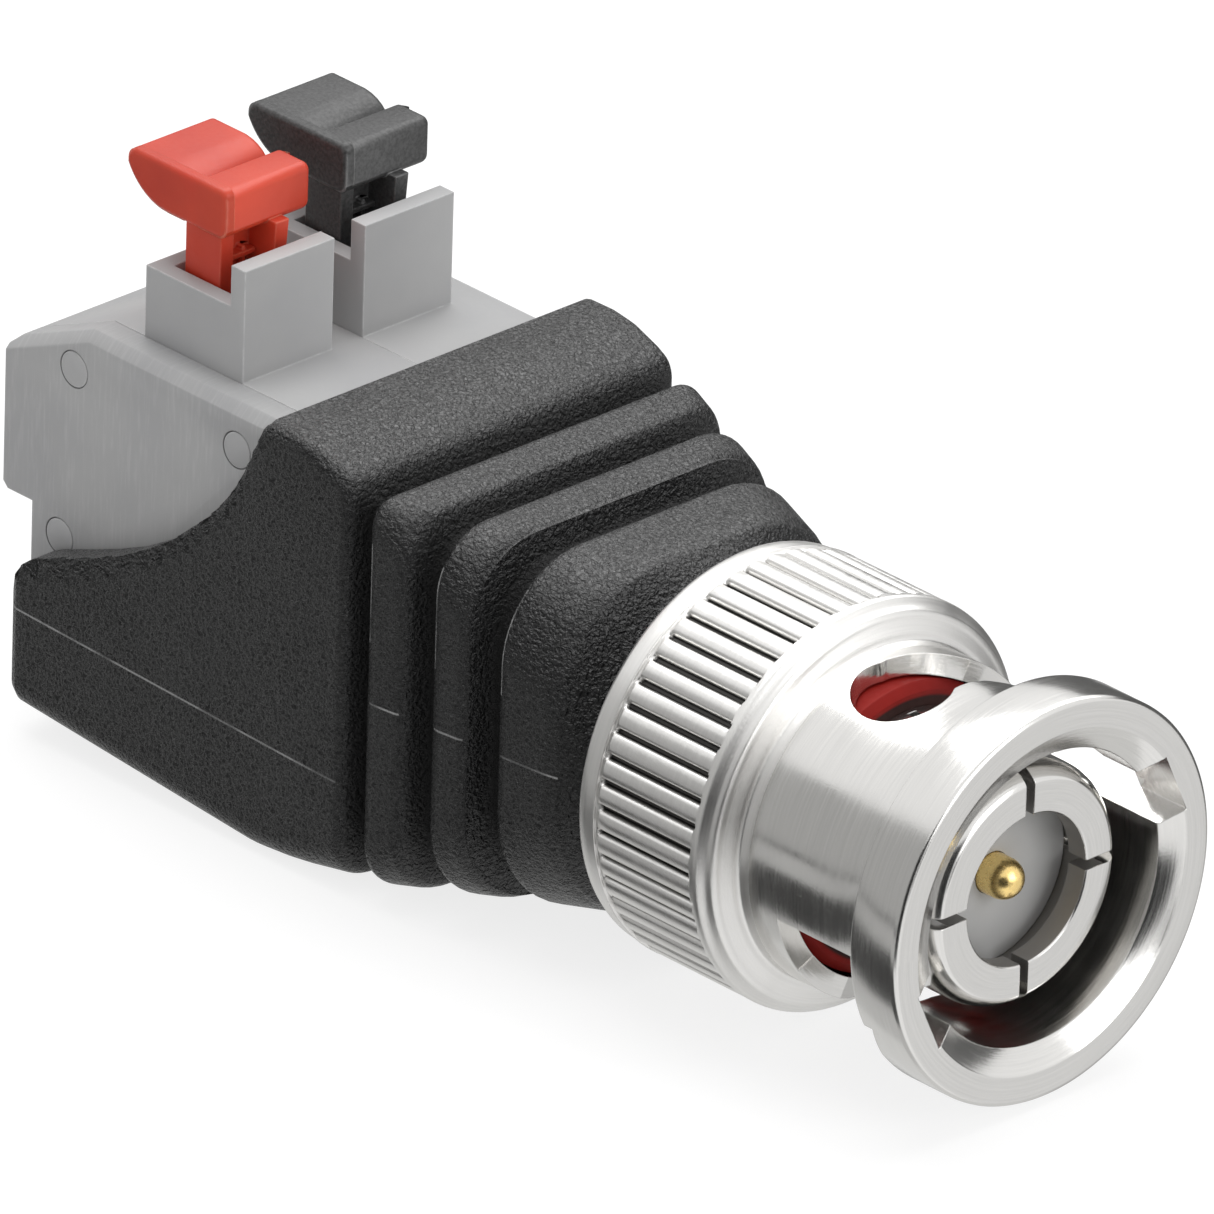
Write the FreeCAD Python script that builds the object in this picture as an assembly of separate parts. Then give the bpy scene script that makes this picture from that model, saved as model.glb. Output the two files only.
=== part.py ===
"""Coaxial bayonet plug with a two-way push-lever wire terminal, in millimetres.

Frame: origin on the plug's axis, halfway along the plain part of the spring fingers, +X out of
the mouth, +Z up towards the levers, +Y across the two terminal ways. The x values below are
counted from the plane of the sleeve's mouth, and every piece is moved by MOUTH_X when saved.
"""
import FreeCAD, Part
import math
import os

V = FreeCAD.Vector

# Frame's origin to the plane of the sleeve's mouth
MOUTH_X = 4.2
# How far a cutting shape runs past the piece it cuts
OVER = 3.0

# Coupling sleeve
SLEEVE_BORE_R = 4.9
COLLAR_R = 6.71
COLLAR_LEN = 2.03
COLLAR_EDGE = 0.14
COLLAR_REAR_EDGE = 0.1
MOUTH_R = 5.7
MOUTH_DEPTH = 0.42
TUBE_R = 5.6
TUBE_REAR_X = -8.0
SHOULDER = ((-8.02, 5.7), (-8.28, 6.48), (-8.42, 6.55))
KNURL_R = 6.81
KNURL_ROOT_R = 6.5
KNURL_FRONT_X = -9.0
KNURL_REAR_X = -13.15
KNURL_BARS = 50
KNURL_FOOT_SHARE = 0.68
KNURL_TOP_SHARE = 0.46
RIM_R = 6.83
RIM_FRONT_X = -8.78
RIM_CHAMFER = 0.3
KNURL_SINK = 0.1
SLEEVE_REAR_X = -14.1
LIP_FRONT_X = -11.1
LIP_REAR_X = -11.9
LIP_R = 3.33
SKIRT_R = 5.75

# Bayonet slots, in degrees round the axis from +Y towards +Z
SLOT_COUNT = 2
CHANNEL_ANGLE = 25.0
CHANNEL_W = 2.3
CHANNEL_FLOOR_R = 5.72
CHANNEL_END_X = -5.9
LOCK_ANGLE = 101.0
LOCK_X = -5.8
LOCK_R = 1.62
RAMP = ((25.0, -1.6, -6.35), (39.0, -2.1, -6.42), (47.0, -2.6, -6.45), (55.0, -3.15, -6.45),
        (63.0, -3.7, -6.5), (70.0, -4.2, -6.7), (77.0, -4.56, -6.95), (84.0, -4.62, -7.1),
        (92.0, -4.55, -7.2), (101.0, -4.5, -7.2))

# Outer conductor
FINGER_FACE_X = -1.13
FINGER_FACE_R = 3.6
FINGER_R = 4.05
FINGER_NOSE = (-1.42, 3.9)
FINGER_CHAMFER_X = -1.8
FINGER_LIP_R = 2.52
FINGER_LIP_X = -1.9
FINGER_WALL_END_X = -6.6
FINGER_NECK_R = 3.8
FINGER_SEAM_DEG = 45.0
FINGER_SLOT_W = 0.36
FINGER_SLOT_END_X = -6.4
CHAMBER_R = 3.1
CHAMBER_END_X = -10.0
FLANGE_FRONT_X = -8.4
FLANGE_REAR_X = -9.3
FLANGE_R = 4.8
BARREL_R = 3.25
BARREL_BORE_R = 1.9
BARREL_END_X = -19.6
CLIP_GROOVE_R = 2.9
CLIP_T = 0.36
CLIP_PLAY = 0.04
CLIP_X = -12.02
CLIP_R = 4.5
CLIP_GAP_DEG = 70.0

# Washers and gasket
GASKET_FRONT_X = FINGER_WALL_END_X - 0.01
GASKET_R = 4.82
GASKET_STEP = 0.3
GASKET_EASE = 0.2
WASHER_T = 0.22
WASHER_R = 4.75
WASHER_BORE_R = 3.33
WASHER_GAP = 0.05
WAVE_T = 0.2
WAVE_COUNT = 3
SEAT_GAP = 0.01

# Dielectric, contact pin and rear insulator
DIELECTRIC_FACE_X = -2.7
FIT = 0.02
PIN_R = 0.675
PIN_TIP_X = -1.52
PIN_COLLAR_R = 1.05
PIN_COLLAR_FRONT_X = -8.3
PIN_COLLAR_REAR_X = -9.9
PIN_TAIL_R = 0.6
PIN_TAIL_X = BARREL_END_X - 1.0
INSULATOR_END_X = BARREL_END_X + 0.4

# Terminal block's width, which the shell is built round
PITCH = 5.08
COVER_T = 1.2
BLOCK_GAP = 0.1
SEAT_HALF_W = PITCH + COVER_T / 2 + BLOCK_GAP

# Shell: wide enough for its walls round the block, and never narrower than the sleeve
SHELL_WALL = 1.22
SHELL_STEP = 0.17
SHELL_HALF_W = max(SEAT_HALF_W + SHELL_WALL, max(RIM_R, KNURL_R) + SHELL_STEP)
SHELL_REAR_X = -39.5
SHELL_FRONT_X = -24.31
SHELL_SECTIONS = ((SHELL_REAR_X, SHELL_HALF_W, 10.42, -5.6, 0.9, 0.9),
                  (-38.9, SHELL_HALF_W, 10.28, -6.2, 0.9, 1.2),
                  (-28.6, SHELL_HALF_W, 8.01, -6.95, 0.9, 1.4),
                  (SHELL_FRONT_X, SHELL_HALF_W - 0.05, 7.06, -6.68, 0.9, 1.6))
SHELL_SIDE = ((-29.4, 5.5), (-30.3, 4.2), (-31.54, 3.0), (-33.46, 1.55), (-35.9, 0.3), (-38.3, -0.62),
              (-39.15, -1.15), (SHELL_REAR_X - 0.1, -2.4))
SHELL_SIDE_TOP = (-28.1, 7.9)
RIB_EDGES = ((-23.41, -21.86), (-20.8, -19.33), (-18.15, -15.6))
RIB_W = (SHELL_HALF_W - 0.05, SHELL_HALF_W - 0.69)
RIB_TOP = (7.06, 6.46)
RIB_BOTTOM = (-6.64, -6.14)
RIB_TOP_CORNER = (0.75, 3.22)
RIB_BOTTOM_CORNER = (1.55, 4.14)
RIB_RANGE = (SHELL_FRONT_X, -18.15)
GROOVE_DEPTH = 0.85
RIB_EDGE_R = 0.25
NECK_R = 5.4
NECK_ROOT_R = 5.9
NECK_FRONT_X = SLEEVE_REAR_X + 0.65
NOSE_REAR_X = -18.3
HOLLOW_HALF = 4.55
WIRE_ROOM = (-27.2, -24.0, -5.2, 5.2, -4.9, 5.6)
ROOF_REAR_X = -28.75

# Terminal block
MODULE_Y = COVER_T / 2 - PITCH
BLOCK_REAR_X = -41.35
BLOCK_STEP_X = BLOCK_REAR_X + 1.35
BLOCK_FRONT_X = -27.0
BLOCK_TOP_Z = 7.15
BLOCK_BOTTOM_Z = -5.2
BLOCK_STEP_Z = 0.4
BLOCK_PROFILE = ((BLOCK_REAR_X, 0.62), (BLOCK_REAR_X, 5.35), (BLOCK_REAR_X + 0.45, 5.75),
                 (BLOCK_REAR_X + 3.7, BLOCK_TOP_Z), (BLOCK_FRONT_X, BLOCK_TOP_Z),
                 (BLOCK_FRONT_X, BLOCK_BOTTOM_Z), (BLOCK_STEP_X, BLOCK_BOTTOM_Z),
                 (BLOCK_STEP_X, BLOCK_STEP_Z), (BLOCK_REAR_X + 0.22, BLOCK_STEP_Z))
WALL = 0.85
CAVITY = (BLOCK_REAR_X + 2.45, BLOCK_FRONT_X - 1.2, -3.9, 6.2)
STAKES = ((BLOCK_REAR_X + 3.16, 5.64), (BLOCK_FRONT_X - 3.73, 5.64), (BLOCK_REAR_X + 2.65, -0.36))
STAKE_R = 0.6
STAKE_BOSS_R = 0.9
STAKE_CLEAR = 0.02
STAKE_LEN = COVER_T
TOWER_REAR_X = BLOCK_REAR_X + 5.05
TOWER_FRONT_X = TOWER_REAR_X + 4.5
TOWER_W = 3.78
TOWER_WALL = 0.62
TOWER_TALL_T = 0.65
TOWER_RIM_Z = 9.6
TOWER_TALL_Z = 11.0
ENTRY_Z = 3.0
ENTRY_R = 1.25
ENTRY_FUNNEL_R = 1.75
ENTRY_FUNNEL_DEPTH = 0.5

# Levers: x values from the tower's rear, y values from the module's -Y face
HEAD_X = (TOWER_REAR_X - 1.58, TOWER_REAR_X + 2.95)
HEAD_Y = (0.53, 4.25)
HEAD_TOP_Z = 12.98
HEAD_BOTTOM_Z = 11.28
HEAD_CORNER_R = 0.28
HEAD_NOSE_R = 0.43
HEAD_CURVE_X = HEAD_X[0] + 1.88
HEAD_CURVE_Z = 12.4
HEAD_SLOT_X = (TOWER_REAR_X + 1.15, TOWER_REAR_X + 1.58)
HEAD_BAR_T = 0.35
HEAD_SLOPE_X = TOWER_REAR_X + 0.06
HEAD_SLOPE_DROP = 0.75
STEM_X = (TOWER_REAR_X + 1.0, TOWER_REAR_X + 2.6)
STEM_Y = (0.72, 2.95)
STEM_RIB_X = TOWER_REAR_X + 3.25
STEM_POCKET = 0.55
STEM_POST_W = 0.55
STEM_END_Z = 6.35
WEB_TOP_Z = 11.4
POST_TOP_Z = 11.5
SIDE_RIB_W = (0.75, 0.5)
SIDE_RIB_BACK = 0.12
SIDE_RIB_OUT = 0.08
LEDGE_Z = (10.2, 10.38)
LEDGE_Y = (0.3, 0.6)
TICK_Z = (9.7, 10.5)
TICK_Y = (1.15, 1.3)
MARK_SINK = 0.1
MARK_BACK = (0.15, 0.25)
LUG_X = TOWER_REAR_X + 0.25
LUG_Z = (5.35, 6.05)
FOOT_X = (TOWER_REAR_X + 1.3, TOWER_REAR_X + 2.3)
FOOT_Y = (0.72, 1.5)
FOOT_Z = 2.38

# Contacts, springs and wires, y values measured from the module's -Y face
BAR_Z = (4.3, 4.7)
BAR_Y = (1.78, 3.58)
BAR_X = (CAVITY[0] + 0.6, CAVITY[1])
TAIL_W = 1.0
TAIL_X = -25.5
SPRING_T = 0.26
SPRING_Y = (0.95, 3.55)
SPRING_FRONT_X = -29.0
SPRING_FLOOR_Z = -1.6
SPRING_BEND_R = 0.6
SPRING_HOOK = 0.7
SPRING_LOOP_R = 0.95
SPRING_LOOP_X = TOWER_REAR_X - 0.3
SPRING_TIP = (TOWER_REAR_X + 4.6, 3.95)
WIRE_R = 0.32
WIRE_GAP = 0.02
WIRE_LAP = 1.2
WIRE_LEAD = 0.6
PIN_JOINT = (PIN_TAIL_X - 1.0, PIN_TAIL_X + 0.7)
GROUND_JOINT = (BARREL_END_X - 1.3, BARREL_END_X + 1.05)
GROUND_JOINT_DEG = 35.0
SLEEVING_R = 0.62
SLEEVING_SHARE = 0.6

# Solder fillets: length and radius at the contacts, the pin's tail and the barrel
BAR_SOLDER = (1.3, 0.78)
BAR_SOLDER_BACK = 0.55
BAR_SOLDER_LOW = 0.1
PIN_SOLDER = (0.9, 0.85)
PIN_SOLDER_AT = (0.35, 0.15)
GROUND_SOLDER = (1.1, 0.62)
GROUND_SOLDER_AT = 0.6


def save(shape, name):
    placed = shape.copy()
    placed.translate(V(MOUTH_X, 0, 0))
    placed.exportStep("parts/" + name + ".step")


def revolve(points):
    """A ring or turned body from (x, r) points, turned round the X axis."""
    loop = [V(x, 0, r) for x, r in points]
    face = Part.Face(Part.makePolygon(loop + [loop[0]]))
    return face.revolve(V(0, 0, 0), V(1, 0, 0), 360)


def disc(x, r, length):
    return Part.makeCylinder(r, length, V(x, 0, 0), V(1, 0, 0))


def box(x0, x1, y0, y1, z0, z1):
    return Part.makeBox(x1 - x0, y1 - y0, z1 - z0, V(x0, y0, z0))


def prism_y(points, y0, y1):
    """An XZ outline pushed along Y."""
    loop = [V(x, y0, z) for x, z in points]
    return Part.Face(Part.makePolygon(loop + [loop[0]])).extrude(V(0, y1 - y0, 0))


def pin_y(r, length, x, y0, z):
    """A round bar along Y."""
    return Part.makeCylinder(r, length, V(x, y0, z), V(0, 1, 0))


def polar(x, r, deg):
    a = math.radians(deg)
    return V(x, r * math.cos(a), r * math.sin(a))


def turned(shape, deg):
    out = shape.copy()
    out.rotate(V(0, 0, 0), V(1, 0, 0), deg)
    return out


def quad(a, b, c, d):
    return Part.Face(Part.makePolygon([a, b, c, d, a]))


def tri(a, b, c):
    return Part.Face(Part.makePolygon([a, b, c, a]))


def wedge(one, two, r0, r1):
    """The part of a wall between two radial planes, from a front to a rear x on each."""
    pts = []
    for deg, front, rear in (one, two):
        for r in (r0, r1):
            pts.append((polar(front, r, deg), polar(rear, r, deg)))
    (a0, b0), (a1, b1), (c0, d0), (c1, d1) = pts
    faces = [quad(a0, b0, b1, a1), quad(c0, d0, d1, c1), quad(a0, b0, d0, c0), quad(a1, b1, d1, c1)]
    faces += [tri(a0, a1, c1), tri(a0, c1, c0), tri(b0, b1, d1), tri(b0, d1, d0)]
    return Part.Solid(Part.Shell(faces))


def bayonet_slot():
    """One slot's cutting shape: the channel at the mouth, the ramp round the tube and the lock hole."""
    half = CHANNEL_W / 2
    low = SLEEVE_BORE_R - 0.7
    high = RIM_R + 0.8
    floor = box(-COLLAR_LEN, OVER, low - 1, high, -half, half)
    floor = floor.common(disc(-COLLAR_LEN, CHANNEL_FLOOR_R, COLLAR_LEN + OVER))
    through = box(CHANNEL_END_X, -COLLAR_LEN + 0.001, low - 1, high, -half, half)
    cut = turned(floor.fuse(through), CHANNEL_ANGLE)
    for one, two in zip(RAMP, RAMP[1:]):
        cut = cut.fuse(wedge(one, two, low, high))
    lock = pin_y(LOCK_R, high - low + 1, LOCK_X, low - 1, 0)
    return cut.fuse(turned(lock, LOCK_ANGLE))


def knurl_ring():
    """Straight raised bars with sloping flanks, as one ring with a star-shaped outside."""
    step = 360.0 / KNURL_BARS
    foot = step * KNURL_FOOT_SHARE / 2
    top = step * KNURL_TOP_SHARE / 2
    star = []
    for k in range(KNURL_BARS):
        mid = k * step
        for r, off in ((KNURL_ROOT_R, -foot), (KNURL_R, -top), (KNURL_R, top), (KNURL_ROOT_R, foot)):
            star.append(polar(KNURL_REAR_X - KNURL_SINK, r, mid + off))
    length = KNURL_FRONT_X - KNURL_REAR_X + 2 * KNURL_SINK
    bars = Part.Face(Part.makePolygon(star + [star[0]])).extrude(V(length, 0, 0))
    return bars.cut(disc(KNURL_REAR_X - 1, KNURL_ROOT_R - 0.3, length + 2))


def coupling_sleeve():
    outline = [(-MOUTH_DEPTH, SLEEVE_BORE_R), (0, MOUTH_R), (0, COLLAR_R - COLLAR_EDGE)]
    edge = COLLAR_REAR_EDGE
    outline += [(-COLLAR_EDGE, COLLAR_R), (-COLLAR_LEN + edge, COLLAR_R), (-COLLAR_LEN, COLLAR_R - edge)]
    outline += [(-COLLAR_LEN, TUBE_R), (TUBE_REAR_X, TUBE_R)]
    outline += list(SHOULDER)
    root = KNURL_ROOT_R - KNURL_SINK
    outline += [(RIM_FRONT_X, RIM_R), (KNURL_FRONT_X, RIM_R), (KNURL_FRONT_X, root), (KNURL_REAR_X, root)]
    outline += [(KNURL_REAR_X, RIM_R), (SLEEVE_REAR_X + RIM_CHAMFER, RIM_R)]
    outline += [(SLEEVE_REAR_X, RIM_R - RIM_CHAMFER), (SLEEVE_REAR_X, SKIRT_R), (LIP_REAR_X, SKIRT_R)]
    outline += [(LIP_REAR_X, LIP_R), (LIP_FRONT_X, LIP_R), (LIP_FRONT_X, SLEEVE_BORE_R)]
    body = revolve(outline).fuse(knurl_ring())
    slot = bayonet_slot()
    for k in range(SLOT_COUNT):
        body = body.cut(turned(slot, 360.0 * k / SLOT_COUNT))
    return body.removeSplitter()


def outer_conductor():
    outline = [(FINGER_FACE_X, FINGER_LIP_R), (FINGER_FACE_X, FINGER_FACE_R)]
    outline += [FINGER_NOSE, (FINGER_CHAMFER_X, FINGER_R), (FINGER_WALL_END_X, FINGER_R)]
    outline += [(FINGER_WALL_END_X, FINGER_NECK_R), (FLANGE_FRONT_X, FINGER_NECK_R)]
    outline += [(FLANGE_FRONT_X, FLANGE_R), (FLANGE_REAR_X, FLANGE_R), (FLANGE_REAR_X, BARREL_R)]
    groove_end = CLIP_X - CLIP_T - CLIP_PLAY
    outline += [(CLIP_X, BARREL_R), (CLIP_X, CLIP_GROOVE_R), (groove_end, CLIP_GROOVE_R)]
    outline += [(groove_end, BARREL_R), (BARREL_END_X, BARREL_R)]
    outline += [(BARREL_END_X, BARREL_BORE_R), (CHAMBER_END_X, BARREL_BORE_R)]
    outline += [(CHAMBER_END_X, CHAMBER_R), (FINGER_LIP_X, CHAMBER_R), (FINGER_LIP_X, FINGER_LIP_R)]
    body = turned(revolve(outline), FINGER_SEAM_DEG)
    half = FINGER_SLOT_W / 2
    for k in range(2):
        slit = box(FINGER_SLOT_END_X, 0, -FINGER_R - 1, FINGER_R + 1, -half, half)
        body = body.cut(turned(slit, 90.0 * k))
    return body


def dielectric():
    r = CHAMBER_R - FIT
    rear = CHAMBER_END_X + FIT
    bore = PIN_R + FIT
    outline = [(DIELECTRIC_FACE_X, bore), (DIELECTRIC_FACE_X, r)]
    outline += [(rear, r), (rear, PIN_COLLAR_R + FIT), (PIN_COLLAR_FRONT_X + FIT, PIN_COLLAR_R + FIT)]
    outline += [(PIN_COLLAR_FRONT_X + FIT, bore)]
    return revolve(outline)


def centre_pin():
    tip = PIN_TIP_X - PIN_R
    outline = [(PIN_TAIL_X, 0)]
    outline += [(PIN_TIP_X, 0)]
    for k in range(1, 5):
        a = math.radians(90.0 * k / 5)
        outline.append((tip + PIN_R * math.cos(a), PIN_R * math.sin(a)))
    outline += [(tip, PIN_R), (PIN_COLLAR_FRONT_X, PIN_R), (PIN_COLLAR_FRONT_X, PIN_COLLAR_R)]
    outline += [(PIN_COLLAR_REAR_X, PIN_COLLAR_R), (PIN_COLLAR_REAR_X, PIN_TAIL_R), (PIN_TAIL_X, PIN_TAIL_R)]
    return revolve(outline)


def rear_insulator():
    r = BARREL_BORE_R - FIT
    bore = PIN_TAIL_R + FIT
    front = CHAMBER_END_X
    return revolve([(front, bore), (front, r), (INSULATOR_END_X, r), (INSULATOR_END_X, bore)])


def ring(front, rear, inner, outer):
    return revolve([(front, inner), (front, outer), (rear, outer), (rear, inner)])


def gasket():
    rear = FLANGE_FRONT_X + SEAT_GAP
    inner = FINGER_NECK_R + FIT
    step = GASKET_R - GASKET_STEP
    outline = [(GASKET_FRONT_X, inner), (GASKET_FRONT_X, step), (GASKET_FRONT_X - GASKET_EASE, GASKET_R)]
    return revolve(outline + [(rear, GASKET_R), (rear, inner)])


def thrust_washer(front):
    return ring(front, front - WASHER_T, WASHER_BORE_R, WASHER_R)


def wave_washer(front, rear):
    """A spring washer whose ring rises and falls evenly round its circle between two flat faces."""
    mid = (front + rear) / 2
    swing = (front - rear - WAVE_T) / 2
    count = 48
    faces = []

    def corner(deg, r, side):
        x = mid + swing * math.cos(math.radians(deg * WAVE_COUNT)) + side * WAVE_T / 2
        return polar(x, r, deg)

    for k in range(count):
        a = 360.0 * k / count
        b = 360.0 * (k + 1) / count
        for side in (-1, 1):
            p = [corner(a, WASHER_BORE_R, side), corner(a, WASHER_R, side)]
            q = [corner(b, WASHER_R, side), corner(b, WASHER_BORE_R, side)]
            faces += [tri(p[0], p[1], q[0]), tri(p[0], q[0], q[1])]
        for r in (WASHER_BORE_R, WASHER_R):
            faces.append(quad(corner(a, r, -1), corner(b, r, -1), corner(b, r, 1), corner(a, r, 1)))
    return Part.Solid(Part.Shell(faces))


def retaining_clip():
    front = CLIP_X - CLIP_PLAY / 2
    clip = ring(front, front - CLIP_T, CLIP_GROOVE_R + FIT, CLIP_R)
    reach = CLIP_R + 2
    half = math.radians(CLIP_GAP_DEG / 2)
    x = CLIP_X + 1
    loop = [V(x, 0, 0), V(x, reach * math.sin(-half), -reach * math.cos(half))]
    loop += [V(x, reach * math.sin(half), -reach * math.cos(half))]
    gap = Part.Face(Part.makePolygon(loop + [loop[0]])).extrude(V(-3, 0, 0))
    return clip.cut(gap)


def rounded_section(x, w, top, bottom, rt, rb):
    """A closed YZ outline with one corner radius above and another below."""
    k = math.sqrt(0.5)
    edges = []
    corners = [(w - rt, top - rt, rt, 1, 1), (-w + rt, top - rt, rt, -1, 1)]
    corners += [(-w + rb, bottom + rb, rb, -1, -1), (w - rb, bottom + rb, rb, 1, -1)]
    ends = []
    for n, (cy, cz, r, sy, sz) in enumerate(corners):
        side = V(x, cy + sy * r, cz)
        cap = V(x, cy, cz + sz * r)
        mid = V(x, cy + sy * r * k, cz + sz * r * k)
        first, last = (side, cap) if n % 2 == 0 else (cap, side)
        ends.append((first, mid, last))
    for n in range(4):
        first, mid, last = ends[n]
        edges.append(Part.Arc(first, mid, last).toShape())
        edges.append(Part.LineSegment(last, ends[(n + 1) % 4][0]).toShape())
    return Part.Wire(edges)


def between(x, pair):
    a, b = RIB_RANGE
    return pair[0] + (pair[1] - pair[0]) * (x - a) / (b - a)


def rib_section(x, inset=0.0):
    w = between(x, RIB_W) - inset
    top = between(x, RIB_TOP) - inset
    bottom = between(x, RIB_BOTTOM) + inset
    rt = max(between(x, RIB_TOP_CORNER) - inset * 0.5, 0.4)
    rb = max(between(x, RIB_BOTTOM_CORNER) - inset * 0.5, 0.4)
    return rounded_section(x, w, top, bottom, rt, rb)


def rib_block(rear, front, inset=0.0):
    return Part.makeLoft([rib_section(rear, inset), rib_section(front, inset)], True, True)


def eased_rib(rear, front):
    """One rib with its two outer edges eased."""
    e = RIB_EDGE_R
    cuts = ((rear, e), (rear + e, 0.0), (front - e, 0.0), (front, e))
    return Part.makeLoft([rib_section(x, inset) for x, inset in cuts], True, True)


def shell_body():
    """The rear box of the shell, open at the back, its sides cut away under the terminal block."""
    tube = Part.makeLoft([rounded_section(*s) for s in SHELL_SECTIONS], True, True)
    y = -SHELL_HALF_W - OVER
    curve = Part.BSplineCurve()
    curve.interpolate([V(x, y, z) for x, z in SHELL_SIDE])
    first = V(SHELL_SIDE[0][0], y, SHELL_SIDE[0][1])
    last = V(SHELL_SIDE[-1][0], y, SHELL_SIDE[-1][1])
    top = V(SHELL_SIDE_TOP[0], y, SHELL_SIDE_TOP[1])
    rear = SHELL_REAR_X - OVER
    high = HEAD_TOP_Z + OVER
    rest = [last, V(rear, y, last.z), V(rear, y, high), V(top.x, y, high), top, first]
    wire = Part.Wire([curve.toShape()] + Part.makePolygon(rest).Edges)
    return tube.cut(Part.Face(wire).extrude(V(0, -2 * y, 0)))


def shell():
    body = shell_body()
    a, b = RIB_RANGE
    front = RIB_EDGES[-1][1]
    core = rib_block(a - 0.4, front - 0.6, GROOVE_DEPTH)
    body = body.fuse(core)
    for rear, fore in RIB_EDGES:
        body = body.fuse(eased_rib(rear, fore))
    neck = [(front - 0.8, 0), (front - 0.8, NECK_ROOT_R), (front - 0.1, NECK_ROOT_R - 0.05)]
    neck += [(front + 0.7, NECK_R), (NECK_FRONT_X, NECK_R), (NECK_FRONT_X, 0)]
    return hollow_shell(body.fuse(revolve(neck)))


def hollow_shell(body):
    """The block's seat, the opening above it, the room for the wires and the barrel's hole."""
    half = SEAT_HALF_W
    rear = min(BLOCK_REAR_X, SHELL_REAR_X) - OVER
    seat = box(rear, BLOCK_FRONT_X + BLOCK_GAP, -half, half, BLOCK_BOTTOM_Z - BLOCK_GAP,
               BLOCK_TOP_Z + BLOCK_GAP)
    above = box(rear, ROOF_REAR_X, -half, half, 0, HEAD_TOP_Z + OVER)
    hollow = box(WIRE_ROOM[1] - 0.2, NOSE_REAR_X, -HOLLOW_HALF, HOLLOW_HALF, -HOLLOW_HALF, HOLLOW_HALF)
    barrel = disc(NOSE_REAR_X - OVER, BARREL_R + SEAT_GAP, NECK_FRONT_X - NOSE_REAR_X + 2 * OVER)
    for cut in (seat, above, box(*WIRE_ROOM), hollow, barrel):
        body = body.cut(cut)
    return body


def block_solid(y0, y1):
    """The terminal block's side view, pushed along Y."""
    return prism_y(BLOCK_PROFILE, y0, y1)


def module_housing(y0):
    """One terminal way: a box open on its -Y side, a lever well on top and a round wire entry behind."""
    y1 = y0 + PITCH - SEAT_GAP
    body = block_solid(y0, y1)
    x0, x1, z0, z1 = CAVITY
    body = body.cut(box(x0, x1, y0 - 1, y1 - WALL, z0, z1))
    tower = box(TOWER_REAR_X, TOWER_FRONT_X, y0, y0 + TOWER_W, z1, TOWER_RIM_Z)
    tall = box(TOWER_FRONT_X - TOWER_TALL_T, TOWER_FRONT_X, y0, y0 + TOWER_W, z1, TOWER_TALL_Z)
    body = body.fuse(tower).fuse(tall)
    well = box(TOWER_REAR_X + TOWER_WALL, TOWER_FRONT_X - TOWER_TALL_T, y0 + TOWER_WALL,
               y0 + TOWER_W - TOWER_WALL, z1 - 1, TOWER_TALL_Z + 1)
    body = body.cut(well)
    for x, z in STAKES:
        half = STAKE_BOSS_R
        boss = box(x - half, x + half, y0, y1 - 0.1, z - half, z + half)
        body = body.fuse(boss.common(block_solid(y0, y1)))
        body = body.fuse(pin_y(STAKE_R, STAKE_LEN + 0.5, x, y0 - STAKE_LEN, z))
        body = body.cut(pin_y(STAKE_R + STAKE_CLEAR, STAKE_LEN + 0.2, x, y1 - STAKE_LEN - 0.1, z))
    yc = y0 + PITCH / 2
    entry = disc(BLOCK_REAR_X - 1, ENTRY_R, 4.0)
    funnel = Part.makeCone(ENTRY_FUNNEL_R, ENTRY_R, ENTRY_FUNNEL_DEPTH, V(BLOCK_REAR_X, 0, 0), V(1, 0, 0))
    mouth = entry.fuse(funnel)
    mouth.translate(V(0, yc, ENTRY_Z))
    body = body.cut(mouth)
    tail = box(x1 - 0.5, BLOCK_FRONT_X + 1, *tail_span(y0, 0.05), BAR_Z[0] - 0.05, BAR_Z[1] + 0.05)
    return body.cut(tail).removeSplitter()


def tail_span(y0, gap=0.0):
    mid = y0 + (BAR_Y[0] + BAR_Y[1]) / 2
    return mid - TAIL_W / 2 - gap, mid + TAIL_W / 2 + gap


def end_cover():
    y1 = MODULE_Y - SEAT_GAP
    y0 = MODULE_Y - COVER_T
    plate = block_solid(y0, y1)
    for x, z in STAKES:
        plate = plate.cut(pin_y(STAKE_R + STAKE_CLEAR, COVER_T + 2, x, y0 - 1, z))
    outer = [e for e in plate.Edges if e.BoundBox.YMax < y0 + 0.01 and e.BoundBox.DiagonalLength > 1.5]
    outer = [e for e in outer if e.Curve.TypeId == "Part::GeomLine" and e.BoundBox.ZMin > 5.0]
    return plate.makeChamfer(0.35, outer)


def outline_y(y0, y1, start, steps):
    """An XZ outline pushed along Y. Each step is an end point, after a point on the way for an arc."""
    edges = []
    here = V(start[0], y0, start[1])
    for step in steps:
        there = V(step[-2], y0, step[-1])
        if len(step) == 4:
            edges.append(Part.Arc(here, V(step[0], y0, step[1]), there).toShape())
        else:
            edges.append(Part.LineSegment(here, there).toShape())
        here = there
    return Part.Face(Part.Wire(edges)).extrude(V(0, y1 - y0, 0))


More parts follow.
